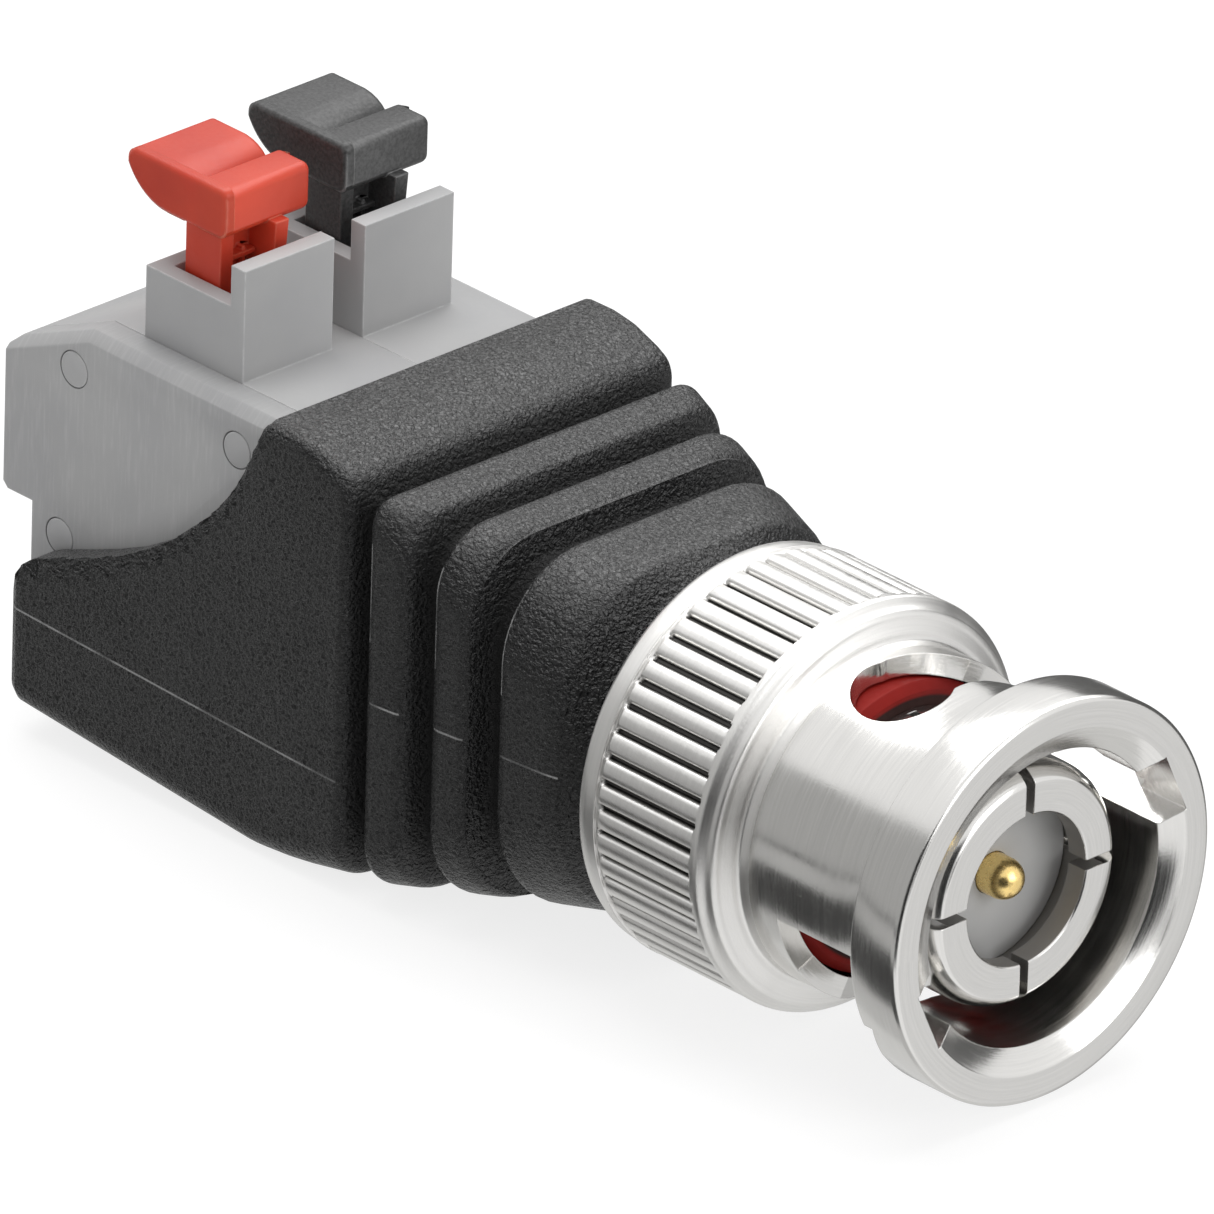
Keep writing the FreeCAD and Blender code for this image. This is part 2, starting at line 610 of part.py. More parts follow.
def head_block(ya, yb):
    """The lever's head: a flat top, rounded corners and an underside that curves up to the nose."""
    rear, front = HEAD_X
    top = HEAD_TOP_Z
    low = HEAD_BOTTOM_Z
    r = HEAD_CORNER_R
    n = HEAD_NOSE_R
    k = 1 - math.sqrt(0.5)
    reach = HEAD_CURVE_X - rear
    rise = HEAD_CURVE_Z - low
    big = (reach * reach + rise * rise) / (2 * rise)
    half = math.atan2(reach, big - rise) / 2
    under = (HEAD_CURVE_X - big * math.sin(half), low + big * (1 - math.cos(half)))
    steps = [(front - r * k, top - r * k, front, top - r), (front, low + r)]
    steps += [(front - r * k, low + r * k, front - r, low), (HEAD_CURVE_X, low)]
    steps += [under + (rear, HEAD_CURVE_Z), (rear, top - n), (rear + n * k, top - n * k, rear + n, top)]
    return outline_y(ya, yb, (front - r, top), steps + [(front - r, top)])


def lever(y0):
    """A push button: a forked head, a stem with a pocket and ribs, a stop lug and a foot."""
    ya = y0 + HEAD_Y[0]
    yb = y0 + HEAD_Y[1]
    head = head_block(ya, yb)
    head = head.cut(box(HEAD_SLOT_X[0], HEAD_SLOT_X[1], ya + HEAD_BAR_T, yb + 1, 0, 20))
    slope = [(HEAD_SLOPE_X, HEAD_TOP_Z), (HEAD_SLOT_X[0] + 0.01, HEAD_TOP_Z - HEAD_SLOPE_DROP)]
    slope += [(HEAD_SLOT_X[0] + 0.01, HEAD_TOP_Z + 1), (HEAD_SLOPE_X, HEAD_TOP_Z + 1)]
    head = head.cut(prism_y(slope, ya + HEAD_BAR_T, yb + 1))
    sa = y0 + STEM_Y[0]
    sb = y0 + STEM_Y[1]
    low = STEM_END_Z
    web = box(STEM_X[0], STEM_X[1] - STEM_POCKET, sa, sb, low, WEB_TOP_Z)
    post = box(STEM_X[0], STEM_X[1], sa, sa + STEM_POST_W, low, POST_TOP_Z)
    out = sb - SIDE_RIB_BACK
    rib = [V(STEM_X[0], sb - SIDE_RIB_W[0], low), V(STEM_X[0], sb - SIDE_RIB_W[1], POST_TOP_Z)]
    rib += [V(STEM_X[0], sb + SIDE_RIB_OUT, POST_TOP_Z), V(STEM_X[0], out, TOWER_RIM_Z)]
    rib += [V(STEM_X[0], out, low)]
    rib = Part.Face(Part.makePolygon(rib + [rib[0]])).extrude(V(STEM_RIB_X - STEM_X[0], 0, 0))
    web = web.cut(box(STEM_X[0] - 1, STEM_X[1] + 1, out, sb + 1, 0, TOWER_RIM_Z + 0.5))
    back = STEM_X[1] - STEM_POCKET - MARK_SINK
    ledge = box(back, STEM_X[1] - MARK_BACK[0], sa + LEDGE_Y[0], sb - LEDGE_Y[1], *LEDGE_Z)
    tick = box(back, STEM_X[1] - MARK_BACK[1], sa + TICK_Y[0], sa + TICK_Y[1], *TICK_Z)
    fa = y0 + FOOT_Y[0]
    fb = y0 + FOOT_Y[1]
    half = (FOOT_X[1] - FOOT_X[0]) / 2
    lug = box(LUG_X, FOOT_X[0] + 0.1, fa, fb, LUG_Z[0], LUG_Z[1])
    foot = box(FOOT_X[0], FOOT_X[1], fa, fb, FOOT_Z + half, low + 0.1)
    nib = pin_y(half, fb - fa, FOOT_X[0] + half, fa, FOOT_Z + half)
    body = head
    for piece in (web, post, rib, ledge, tick, lug, foot, nib):
        body = body.fuse(piece)
    return body.removeSplitter()


def contact_bar(y0):
    ya = y0 + BAR_Y[0]
    yb = y0 + BAR_Y[1]
    bar = box(BAR_X[0], BAR_X[1] - FIT, ya, yb, BAR_Z[0], BAR_Z[1])
    ta, tb = tail_span(y0)
    return bar.fuse(box(BAR_X[1] - 1, TAIL_X, ta, tb, BAR_Z[0], BAR_Z[1])).removeSplitter()


def strip(points, t, y0, y1):
    """A bent flat strip of even thickness, following XZ points."""
    left = []
    right = []
    n = len(points)
    for i, (x, z) in enumerate(points):
        px, pz = points[max(i - 1, 0)]
        qx, qz = points[min(i + 1, n - 1)]
        d = math.hypot(qx - px, qz - pz)
        nx = -(qz - pz) / d * t / 2
        nz = (qx - px) / d * t / 2
        left.append((x + nx, z + nz))
        right.append((x - nx, z - nz))
    return prism_y(left + right[::-1], y0, y1)


def turn(cx, cz, r, start, end, steps):
    """Points along an arc in the XZ plane, in degrees from +X towards +Z."""
    points = []
    for k in range(steps + 1):
        a = math.radians(start + (end - start) * k / steps)
        points.append((cx + r * math.cos(a), cz + r * math.sin(a)))
    return points


def spring_path():
    """Hook under the bar, a leg down and back along the floor, a loop, then the rising clamp leg."""
    bend = SPRING_BEND_R
    top = BAR_Z[0] - SPRING_T / 2 - FIT
    leg_x = SPRING_FRONT_X - bend
    path = [(leg_x - SPRING_HOOK, top)]
    path += turn(leg_x, top - bend, bend, 90, 0, 3)
    path += turn(leg_x, SPRING_FLOOR_Z + bend, bend, 0, -90, 3)
    cx = SPRING_LOOP_X
    cz = SPRING_FLOOR_Z + SPRING_LOOP_R
    tx, tz = SPRING_TIP
    reach = math.hypot(tx - cx, tz - cz)
    end = math.degrees(math.atan2(tz - cz, tx - cx) + math.acos(SPRING_LOOP_R / reach))
    path += turn(cx, cz, SPRING_LOOP_R, 270, end, 9)
    return path + [(tx, tz)]


def clamp_spring(y0):
    return strip(spring_path(), SPRING_T, y0 + SPRING_Y[0], y0 + SPRING_Y[1])


def rod(points, r):
    """A round wire along straight runs, rounded at each bend."""
    out = None
    for a, b in zip(points, points[1:]):
        d = b.sub(a)
        run = Part.makeCylinder(r, d.Length, a, d)
        out = run if out is None else out.fuse(run)
    for p in points[1:-1]:
        out = out.fuse(Part.makeSphere(r, p))
    return out.removeSplitter()


def tail_mid(y0):
    ta, tb = tail_span(y0)
    return (ta + tb) / 2


def signal_points():
    y = tail_mid(MODULE_Y)
    z = BAR_Z[0] - WIRE_R - WIRE_GAP
    top = PIN_TAIL_R + WIRE_R + WIRE_GAP
    return [V(TAIL_X - WIRE_LAP, y, z), V(TAIL_X + WIRE_LEAD, y, z), V(PIN_JOINT[0], 0, top),
            V(PIN_JOINT[1], 0, top)]


def ground_points():
    y = tail_mid(MODULE_Y + PITCH)
    z = BAR_Z[0] - WIRE_R - WIRE_GAP
    side = BARREL_R + WIRE_R + WIRE_GAP
    return [V(TAIL_X - WIRE_LAP, y, z), V(TAIL_X + WIRE_LEAD, y, z),
            polar(GROUND_JOINT[0], side, GROUND_JOINT_DEG), polar(GROUND_JOINT[1], side, GROUND_JOINT_DEG)]


def sleeving():
    pts = signal_points()
    run = pts[2].sub(pts[1])
    start = pts[1].add(V(run).multiply((1 - SLEEVING_SHARE) / 2))
    length = run.Length * SLEEVING_SHARE
    tube = Part.makeCylinder(SLEEVING_R, length, start, run)
    return tube.cut(Part.makeCylinder(WIRE_R + WIRE_GAP, length, start, run))


def solder(centre, size, holes):
    """A tin fillet: a barrel along X round a joint, clear of the pieces it holds."""
    length, r = size
    blob = Part.makeCylinder(r, length, centre.sub(V(length / 2, 0, 0)), V(1, 0, 0))
    for hole in holes:
        blob = blob.cut(hole)
    return blob


def grown_bar(y0):
    ta, tb = tail_span(y0, WIRE_GAP)
    return box(BAR_X[1] - 1, TAIL_X + WIRE_GAP, ta, tb, BAR_Z[0] - WIRE_GAP, BAR_Z[1] + WIRE_GAP)


def solder_joints():
    ws = rod(signal_points(), WIRE_R + WIRE_GAP)
    wg = rod(ground_points(), WIRE_R + WIRE_GAP)
    out = []
    for y0, wire in ((MODULE_Y, ws), (MODULE_Y + PITCH, wg)):
        mid = V(TAIL_X - BAR_SOLDER_BACK, tail_mid(y0), BAR_Z[0] - BAR_SOLDER_LOW)
        out.append(solder(mid, BAR_SOLDER, [wire, grown_bar(y0)]))
    tail = disc(PIN_TAIL_X - WIRE_GAP, PIN_TAIL_R + WIRE_GAP, 6)
    joint = V(PIN_TAIL_X + PIN_SOLDER_AT[0], 0, PIN_TAIL_R + PIN_SOLDER_AT[1])
    out.append(solder(joint, PIN_SOLDER, [ws, tail]))
    g = ground_points()
    barrel = disc(BARREL_END_X - WIRE_GAP, BARREL_R + WIRE_GAP, 8)
    joint = V(BARREL_END_X + GROUND_SOLDER_AT, g[-1].y, g[-1].z)
    out.append(solder(joint, GROUND_SOLDER, [wg, barrel]))
    return Part.makeCompound([s for piece in out for s in piece.Solids])


def main():
    os.makedirs("parts", exist_ok=True)
    save(coupling_sleeve(), "coupling_sleeve")
    save(outer_conductor(), "outer_conductor")
    save(dielectric(), "dielectric")
    save(centre_pin(), "centre_pin")
    save(rear_insulator(), "rear_insulator")
    save(gasket(), "gasket")
    front = FLANGE_REAR_X - SEAT_GAP
    rear = LIP_FRONT_X + WASHER_GAP + WASHER_T
    save(thrust_washer(front), "front_washer")
    save(thrust_washer(rear), "rear_washer")
    save(wave_washer(front - WASHER_T - SEAT_GAP, rear + SEAT_GAP), "wave_washer")
    save(retaining_clip(), "retaining_clip")
    save(shell(), "shell")
    ways = (("signal", MODULE_Y), ("ground", MODULE_Y + PITCH))
    for name, y0 in ways:
        save(module_housing(y0), name + "_housing")
        save(lever(y0), name + "_lever")
        save(contact_bar(y0), name + "_contact")
        save(clamp_spring(y0), name + "_spring")
    save(end_cover(), "end_cover")
    save(rod(signal_points(), WIRE_R), "signal_wire")
    save(rod(ground_points(), WIRE_R), "ground_wire")
    save(sleeving(), "signal_sleeving")
    save(solder_joints(), "solder_joints")


main()
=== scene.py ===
import bpy
import bmesh
import math
from mathutils import Matrix, Vector


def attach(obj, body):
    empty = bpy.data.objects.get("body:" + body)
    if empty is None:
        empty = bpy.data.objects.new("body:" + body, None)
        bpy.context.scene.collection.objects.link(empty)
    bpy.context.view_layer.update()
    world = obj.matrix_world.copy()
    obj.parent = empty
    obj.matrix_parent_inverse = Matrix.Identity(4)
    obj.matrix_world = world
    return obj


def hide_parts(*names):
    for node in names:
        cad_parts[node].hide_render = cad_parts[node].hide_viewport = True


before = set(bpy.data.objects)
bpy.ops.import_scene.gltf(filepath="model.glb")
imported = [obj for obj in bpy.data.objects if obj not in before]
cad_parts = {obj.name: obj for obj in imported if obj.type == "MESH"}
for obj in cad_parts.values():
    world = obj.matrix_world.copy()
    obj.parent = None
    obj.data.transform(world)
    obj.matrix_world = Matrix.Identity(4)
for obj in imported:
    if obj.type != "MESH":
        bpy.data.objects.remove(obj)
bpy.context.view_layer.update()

MM = 0.001
# The plane of the sleeve's mouth in the part's frame, in millimetres. Every x below is counted from it.
MOUTH_X = 4.2

# Places along the plug's axis
COLLAR_REAR, TUBE_REAR = -2.03, -7.65
RIM_FRONT, SLEEVE_REAR = -8.8, -14.1
KNURL_FRONT, KNURL_REAR = -8.9, -13.15
KNURL_GAPS_X = (-13.12, -8.95)
NECK_FRONT, BODY_FRONT = -13.45, -24.31
RIB_EDGES = ((-23.41, -21.86), (-20.8, -19.33), (-18.15, -15.55))
GROOVES = ((BODY_FRONT, -23.41), (-21.86, -20.8), (-19.33, -18.15))

# Radii of the sleeve's tube, bore and collar, and of the tops and roots of the knurl's bars
TUBE_R, BORE_R, COLLAR_R = 5.6, 4.9, 6.71
BAR_TOP, BAR_ROOT = 6.83, 6.52

# Camera: the square picture's width and the focal length in its pixels, then directions and place
PICTURE_PX, FOCAL_PX, SENSOR_MM = 1214.0, 30301.85, 36.0
CAMERA_RIGHT = (0.68697, 0.72619, 0.02694)
CAMERA_UP = (-0.34111, 0.28951, 0.89433)
CAMERA_AT = (581.119, -584.094, 420.824)


def point(x, y, z):
    """A place in the part's frame, from millimetres counted from the mouth."""
    return Vector(((x + MOUTH_X) * MM, y * MM, z * MM))


def polar(x, r, deg):
    a = math.radians(deg)
    return point(x, r * math.cos(a), r * math.sin(a))


def make_camera():
    """A long lens that looks down on the mouth and on the side towards -Y."""
    cam = bpy.data.objects.new("camera", bpy.data.cameras.new("camera"))
    bpy.context.scene.collection.objects.link(cam)
    cam.data.sensor_width = SENSOR_MM
    cam.data.lens = FOCAL_PX / PICTURE_PX * SENSOR_MM
    right = Vector(CAMERA_RIGHT).normalized()
    up = Vector(CAMERA_UP)
    up = (up - right * up.dot(right)).normalized()
    turn = Matrix((right, up, right.cross(up).normalized())).transposed()
    cam.matrix_world = Matrix.Translation(point(*CAMERA_AT)) @ turn.to_4x4()
    cam.data.clip_start = 0.05
    cam.data.clip_end = 50.0
    bpy.context.scene.camera = cam


make_camera()
bpy.context.scene.view_settings.view_transform = "Standard"


# Materials
class Nodes:
    """One material's node tree, with a short call for each kind of node."""

    def __init__(self, name):
        self.mat = bpy.data.materials.new(name)
        self.mat.use_nodes = True
        self.tree = self.mat.node_tree
        self.tree.nodes.clear()
        self.out = self.tree.nodes.new("ShaderNodeOutputMaterial")

    def add(self, kind, **values):
        node = self.tree.nodes.new(kind)
        for key, value in values.items():
            self.feed(node.inputs[key], value)
        return node

    def feed(self, socket, value):
        if isinstance(value, bpy.types.NodeSocket):
            self.tree.links.new(value, socket)
        else:
            socket.default_value = value

    def math(self, op, a, b=0.0):
        node = self.tree.nodes.new("ShaderNodeMath")
        node.operation = op
        self.feed(node.inputs[0], a)
        self.feed(node.inputs[1], b)
        return node.outputs[0]

    def coords(self, scale=(1, 1, 1)):
        tex = self.tree.nodes.new("ShaderNodeTexCoord")
        mapping = self.tree.nodes.new("ShaderNodeMapping")
        self.tree.links.new(tex.outputs["Object"], mapping.inputs["Vector"])
        mapping.inputs["Scale"].default_value = scale
        return mapping.outputs["Vector"]

    def noise(self, vector, scale, detail=2.0, rough=0.5, distort=0.0):
        node = self.tree.nodes.new("ShaderNodeTexNoise")
        self.feed(node.inputs["Vector"], vector)
        node.inputs["Scale"].default_value = scale
        node.inputs["Detail"].default_value = detail
        node.inputs["Roughness"].default_value = rough
        node.inputs["Distortion"].default_value = distort
        return node.outputs["Fac"]

    def span(self, value, low, high, a=0.0, b=1.0):
        """From a at low to b at high, and level beyond them."""
        node = self.tree.nodes.new("ShaderNodeMapRange")
        self.feed(node.inputs["Value"], value)
        node.inputs["From Min"].default_value = low
        node.inputs["From Max"].default_value = high
        node.inputs["To Min"].default_value = a
        node.inputs["To Max"].default_value = b
        return node.outputs["Result"]

    def mix(self, fac, a, b):
        node = self.tree.nodes.new("ShaderNodeMix")
        node.data_type = "RGBA"
        self.feed(node.inputs[0], fac)
        self.feed(node.inputs[6], a)
        self.feed(node.inputs[7], b)
        return node.outputs[2]

    def bump(self, height, strength, distance_mm, normal=None):
        node = self.tree.nodes.new("ShaderNodeBump")
        node.inputs["Strength"].default_value = strength
        node.inputs["Distance"].default_value = distance_mm * MM
        self.feed(node.inputs["Height"], height)
        if normal is not None:
            self.feed(node.inputs["Normal"], normal)
        return node.outputs["Normal"]

    def bevel(self, radius_mm):
        node = self.tree.nodes.new("ShaderNodeBevel")
        node.samples = 4
        node.inputs["Radius"].default_value = radius_mm * MM
        return node.outputs["Normal"]

    def edges(self, radius_mm):
        """One along hard edges, nought on the faces between them."""
        flat = self.tree.nodes.new("ShaderNodeNewGeometry")
        dot = self.tree.nodes.new("ShaderNodeVectorMath")
        dot.operation = "DOT_PRODUCT"
        self.feed(dot.inputs[0], flat.outputs["Normal"])
        self.feed(dot.inputs[1], self.bevel(radius_mm))
        return self.span(dot.outputs["Value"], 0.80, 0.985, 1.0, 0.0)

    def xyz(self):
        """The three coordinates of the shaded place, in metres."""
        tex = self.tree.nodes.new("ShaderNodeTexCoord")
        parts = self.tree.nodes.new("ShaderNodeSeparateXYZ")
        self.feed(parts.inputs[0], tex.outputs["Object"])
        return parts.outputs

    def length(self, a, b):
        squares = self.math("ADD", self.math("MULTIPLY", a, a), self.math("MULTIPLY", b, b))
        return self.math("SQRT", squares)

    def axis_x(self, x):
        """An x counted from the mouth, in the metres that coordinates have."""
        return (x + MOUTH_X) * MM

    def within(self, part, low, high):
        """One between two coordinates in metres, nought outside them."""
        return self.math("MULTIPLY", self.math("GREATER_THAN", part, low), self.math("LESS_THAN", part, high))

    def band(self, part, place, half_mm):
        """One along a line of this half width, with soft edges."""
        off = self.math("ABSOLUTE", self.math("SUBTRACT", part, place))
        return self.span(off, half_mm * MM * 0.5, half_mm * MM, 1.0, 0.0)

    def surface(self, color, rough, metallic, normal, **more):
        shader = self.tree.nodes.new("ShaderNodeBsdfPrincipled")
        self.feed(shader.inputs["Base Color"], color)
        self.feed(shader.inputs["Roughness"], rough)
        self.feed(shader.inputs["Metallic"], metallic)
        self.feed(shader.inputs["Normal"], normal)
        for key, value in more.items():
            shader.inputs[key.replace("__", " ")].default_value = value
        self.tree.links.new(shader.outputs[0], self.out.inputs["Surface"])
        return self.mat


def rgba(color):
    """A colour with nothing see-through."""
    return (*color, 1)


def nickel(name, lines, rough, grain=0.0, tint=(0.80, 0.79, 0.77), bore_mm=0.0, gap_mm=0.0):
    """Bright turned plate: fine rings round the axis, wear and, where asked, painted shade in a rougher bore
    and in the knurl's gaps.
    """
    n = Nodes(name)
    x, y, z = n.xyz()
    r = n.length(y, z)
    ring = n.add("ShaderNodeCombineXYZ", X=x, Y=r)
    n.feed(ring.inputs["Z"], n.math("MULTIPLY", n.math("ARCTAN2", z, y), RING_DRIFT))
    fine = n.noise(ring.outputs[0], 14000.0, 3.0, 0.6)
    broad = n.noise(ring.outputs[0], 2600.0, 2.0, 0.5)
    height = n.math("ADD", n.math("MULTIPLY", fine, 0.6), n.math("MULTIPLY", broad, 0.5))
    normal = n.bump(height, lines, 0.004, n.bevel(0.05))
    if grain:
        speck = n.noise(n.coords(), 9000.0, 3.0, 0.7)
        normal = n.bump(speck, grain, 0.01, normal)
    patch = n.noise(n.coords(), 420.0, 4.0, 0.55)
    wear_and_edge_highlight = n.math("ADD", n.math("MULTIPLY", patch, 0.6), n.math("MULTIPLY", fine, 0.4))
    roughness = n.span(wear_and_edge_highlight, 0.35, 0.65, *rough)
    color = n.mix(n.span(fine, 0.3, 0.7), rgba(c * 0.93 for c in tint), rgba(tint))
    # Painted shade in the bore: a darker colour, with more roughness as well.
    if bore_mm:
        inside = n.math("LESS_THAN", r, bore_mm * MM)
        inside = n.math("MULTIPLY", inside, n.math("LESS_THAN", x, n.axis_x(BORE_SHADE_X)))
        color = n.mix(inside, color, rgba(BORE_SHADE_TONE))
        roughness = n.math("ADD", roughness, n.math("MULTIPLY", inside, 0.4))
    if gap_mm:
        # Painted shade at the roots of the knurl's gaps.
        gap_shade = n.span(r, (gap_mm - 0.12) * MM, gap_mm * MM, 1.0, 0.0)
        gap_shade = n.math("MULTIPLY", gap_shade, n.within(x, *[n.axis_x(end) for end in KNURL_GAPS_X]))
        color = n.mix(gap_shade, color, rgba(GAP_SHADE_TONE))
    return n.surface(color, roughness, 1.0, normal)


def plastic(name, color, shade, rough, grain_scale, grain, spec=0.4, scratch=None, wear_and_edge_highlight=None,
            mottle=300.0, rings=(), core_mm=0.0, **more):
    """Moulded plastic: patchy tone, fine grain and, where asked, long fine scratches, painted pale highlights
    along the edges and painted shade inside a radius.
    """
    n = Nodes(name)
    fine = n.noise(n.coords(), grain_scale, 4.0, 0.6)
    patch = n.noise(n.coords(), mottle, 3.0, 0.5)
    tone = n.mix(n.span(patch, 0.35, 0.65), rgba(shade), rgba(color))
    normal = n.bump(fine, grain, 0.02, n.bevel(0.06))
    # Painted highlight: pale colour along hard edges, broken up by noise.
    if wear_and_edge_highlight:
        ragged = n.span(n.noise(n.coords(), 2600.0, 2.0), 0.3, 0.6, 0.35, 1.0)
        tone = n.mix(n.math("MULTIPLY", n.edges(0.09), ragged), tone, rgba(wear_and_edge_highlight))
    if scratch:
        streak = n.noise(n.coords(scratch), 1.0, 3.0, 0.65)
        tone = n.mix(n.span(streak, 0.5, 0.75, 0.0, 0.35), tone, rgba(c * 1.35 for c in color))
        normal = n.bump(streak, 0.25, 0.012, normal)
    if core_mm:
        # Painted shade inside this radius.
        x, y, z = n.xyz()
        core_shade = n.span(n.length(y, z), (core_mm - 0.1) * MM, core_mm * MM, 1.0, 0.0)
        tone = n.mix(core_shade, tone, rgba(CORE_SHADE_TONE))
    for x, z in rings:
        tone = n.mix(stake_ring(n, x, z), tone, rgba(JOINT_TONE))
    roughness = n.span(fine, 0.3, 0.7, rough - 0.06, rough + 0.06)
    return n.surface(tone, roughness, 0.0, normal, Specular__IOR__Level=spec, **more)


def stake_ring(n, at_x, at_z):
    """The dark joint line round a stake whose axis is at this x and z."""
    x, y, z = n.xyz()
    dx = n.math("SUBTRACT", x, n.axis_x(at_x))
    dz = n.math("SUBTRACT", z, at_z * MM)
    off = n.math("ABSOLUTE", n.math("SUBTRACT", n.length(dx, dz), STAKE_LINE_R * MM))
    return n.span(off, 0.015 * MM, 0.05 * MM, 0.75, 0.0)


def strongest(n, levels):
    """The highest of several levels at each place."""
    top = levels[0]
    for level in levels[1:]:
        top = n.math("MAXIMUM", top, level)
    return top


def parting_line_highlights(n, x, y, z):
    """Painted highlights: thin pale lines where light catches the parting lines on the shell's sides and at
    the ribs' rear corners.
    """
    rise = n.math("MULTIPLY", n.math("SUBTRACT", x, n.axis_x(SIDE_LINE_X[1])), SIDE_LINE_SLANT)
    side_line = n.band(n.math("ADD", z, rise), SIDE_LINE_Z * MM, 0.045)
    lines = [n.math("MULTIPLY", side_line, n.within(x, *[n.axis_x(end) for end in SIDE_LINE_X]))]
    for ends in RIB_LINES_X:
        rib_line = n.band(z, RIB_LINE_Z * MM, 0.045)
        lines.append(n.math("MULTIPLY", rib_line, n.within(x, *[n.axis_x(end) for end in ends])))
    for rear, front in RIB_EDGES:
        corner = n.band(x, n.axis_x(rear + 0.1), 0.05)
        lines.append(n.math("MULTIPLY", corner, n.within(z, *[end * MM for end in CORNER_LINE_Z])))
    side = n.math("GREATER_THAN", n.math("ABSOLUTE", y), SIDE_FACE_Y * MM)
    return n.math("MULTIPLY", strongest(n, lines), side)


def roof_sheen(n, vec):
    """Painted sheen: one on specks of the faces that look up, fading as they turn away."""
    facing = n.tree.nodes.new("ShaderNodeSeparateXYZ")
    n.feed(facing.inputs[0], n.tree.nodes.new("ShaderNodeNewGeometry").outputs["Normal"])
    sandy = n.span(n.noise(vec, 11000.0, 2.0), 0.4, 0.65, 0.25, 1.0)
    return n.math("MULTIPLY", n.span(facing.outputs["Z"], 0.62, 0.95), sandy)


def shell_plastic():
    """Black leathery grain with a sheen, parting lines with painted pale highlights, a painted sheen on the
    roof and grooves with painted shade that are also rougher.
    """
    n = Nodes("shell_black")
    x, y, z = n.xyz()
    vec = n.coords()
    worms = n.noise(vec, 6800.0, 2.0, 0.5, 0.6)
    fine = n.noise(vec, 15000.0, 2.0, 0.6)
    height = n.math("ADD", n.span(worms, 0.35, 0.65), n.math("MULTIPLY", fine, 0.25))
    normal = n.bump(height, 1.0, 0.06)
    middles = [n.axis_x(sum(ends) / 2) for ends in GROOVES]
    # Painted shade in the grooves, whose bands also add roughness.
    groove = strongest(n, [n.band(x, middle, half) for middle, half in zip(middles, GROOVE_HALVES)])
    wear_and_edge_highlight = n.span(n.noise(vec, 900.0, 2.0), 0.35, 0.6, 0.3, 1.0)
    # Painted highlight along the parting lines, broken up by noise.
    seam_highlight = n.math("MULTIPLY", parting_line_highlights(n, x, y, z), wear_and_edge_highlight)
    patch = n.noise(vec, 260.0, 3.0, 0.5)
    tone = n.mix(n.span(patch, 0.35, 0.65), (0.009, 0.009, 0.0095, 1), (0.014, 0.014, 0.0145, 1))
    # Painted sheen on the roof.
    tone = n.mix(roof_sheen(n, vec), tone, (0.105, 0.105, 0.105, 1))
    tone = n.mix(seam_highlight, tone, (0.30, 0.30, 0.30, 1))
    tone = n.mix(groove, tone, (0.004, 0.004, 0.004, 1))
    roughness = n.math("ADD", n.span(fine, 0.3, 0.7, 0.22, 0.34), n.math("MULTIPLY", groove, 0.5))
    return n.surface(tone, roughness, 0.0, normal, IOR=1.5)


# How far a lathe's rings drift along the axis in a turn, where the painted shade in the fingers' bore starts,
# and the painted shade tones of the bore, the knurl's gaps and the gasket's core
RING_DRIFT = 0.00012
BORE_SHADE_X = -1.18
BORE_SHADE_TONE = (0.36, 0.35, 0.34)
GAP_SHADE_TONE = (0.07, 0.068, 0.065)
CORE_SHADE_TONE = (0.035, 0.012, 0.010)

# Stakes' x and z on the cover, and the joint line round each
STAKES = ((-38.19, 5.64), (-30.73, 5.64), (-38.70, -0.36))
STAKE_LINE_R = 0.61
JOINT_TONE = (0.10, 0.10, 0.10)

# The shell's parting lines, which carry painted highlights, the side faces that they are on, and the half
# widths of the painted shade in the grooves
SIDE_LINE_X, SIDE_LINE_Z, SIDE_LINE_SLANT = (-39.6, -24.6), -3.1, 0.031
RIB_LINES_X, RIB_LINE_Z = ((-23.25, -22.05), (-20.65, -19.5), (-18.0, -15.7)), 0.15
CORNER_LINE_Z = (2.2, 5.6)
SIDE_FACE_Y = 5.2
GROOVE_HALVES = (0.5, 0.56, 0.56)

NICKEL = nickel("nickel_turned", 0.9, (0.12, 0.24), 0.12)
NICKEL_INNER = nickel("nickel_fingers", 0.25, (0.12, 0.2), bore_mm=3.3)
KNURLED = nickel("nickel_knurled", 0.12, (0.28, 0.42), 0.45, (0.86, 0.85, 0.83), gap_mm=6.68)
SHELL = shell_plastic()
# The pale edge colours given below are painted highlights.
GREY = plastic("grey_moulded", (0.45, 0.45, 0.45), (0.42, 0.42, 0.425), 0.5, 4200.0, 0.12, 0.3,
               wear_and_edge_highlight=(0.82, 0.82, 0.82))
COVER = plastic("grey_cover", (0.43, 0.43, 0.43), (0.40, 0.40, 0.405), 0.5, 4200.0, 0.1, 0.3,
                scratch=(9000.0, 400.0, 700.0), wear_and_edge_highlight=(0.70, 0.70, 0.70), rings=STAKES)
RED = plastic("red_moulded", (0.64, 0.060, 0.026), (0.54, 0.042, 0.020), 0.40, 5200.0, 0.25, 0.45,
              wear_and_edge_highlight=(0.82, 0.20, 0.12), Subsurface__Weight=0.1, Subsurface__Radius=(0.0012, 0.0003, 0.0002),
              Subsurface__Scale=1.0)
BLACK = plastic("black_moulded", (0.072, 0.072, 0.072), (0.036, 0.036, 0.036), 0.40, 6500.0, 0.9, 0.5,
                wear_and_edge_highlight=(0.28, 0.28, 0.28), mottle=9000.0)
RUBBER = plastic("red_rubber", (0.30, 0.014, 0.010), (0.20, 0.009, 0.007), 0.55, 3000.0, 0.15, 0.15,
                 core_mm=4.42)
DIELECTRIC = plastic("grey_dielectric", (0.52, 0.52, 0.515), (0.48, 0.48, 0.475), 0.5, 5000.0, 0.08, 0.35)
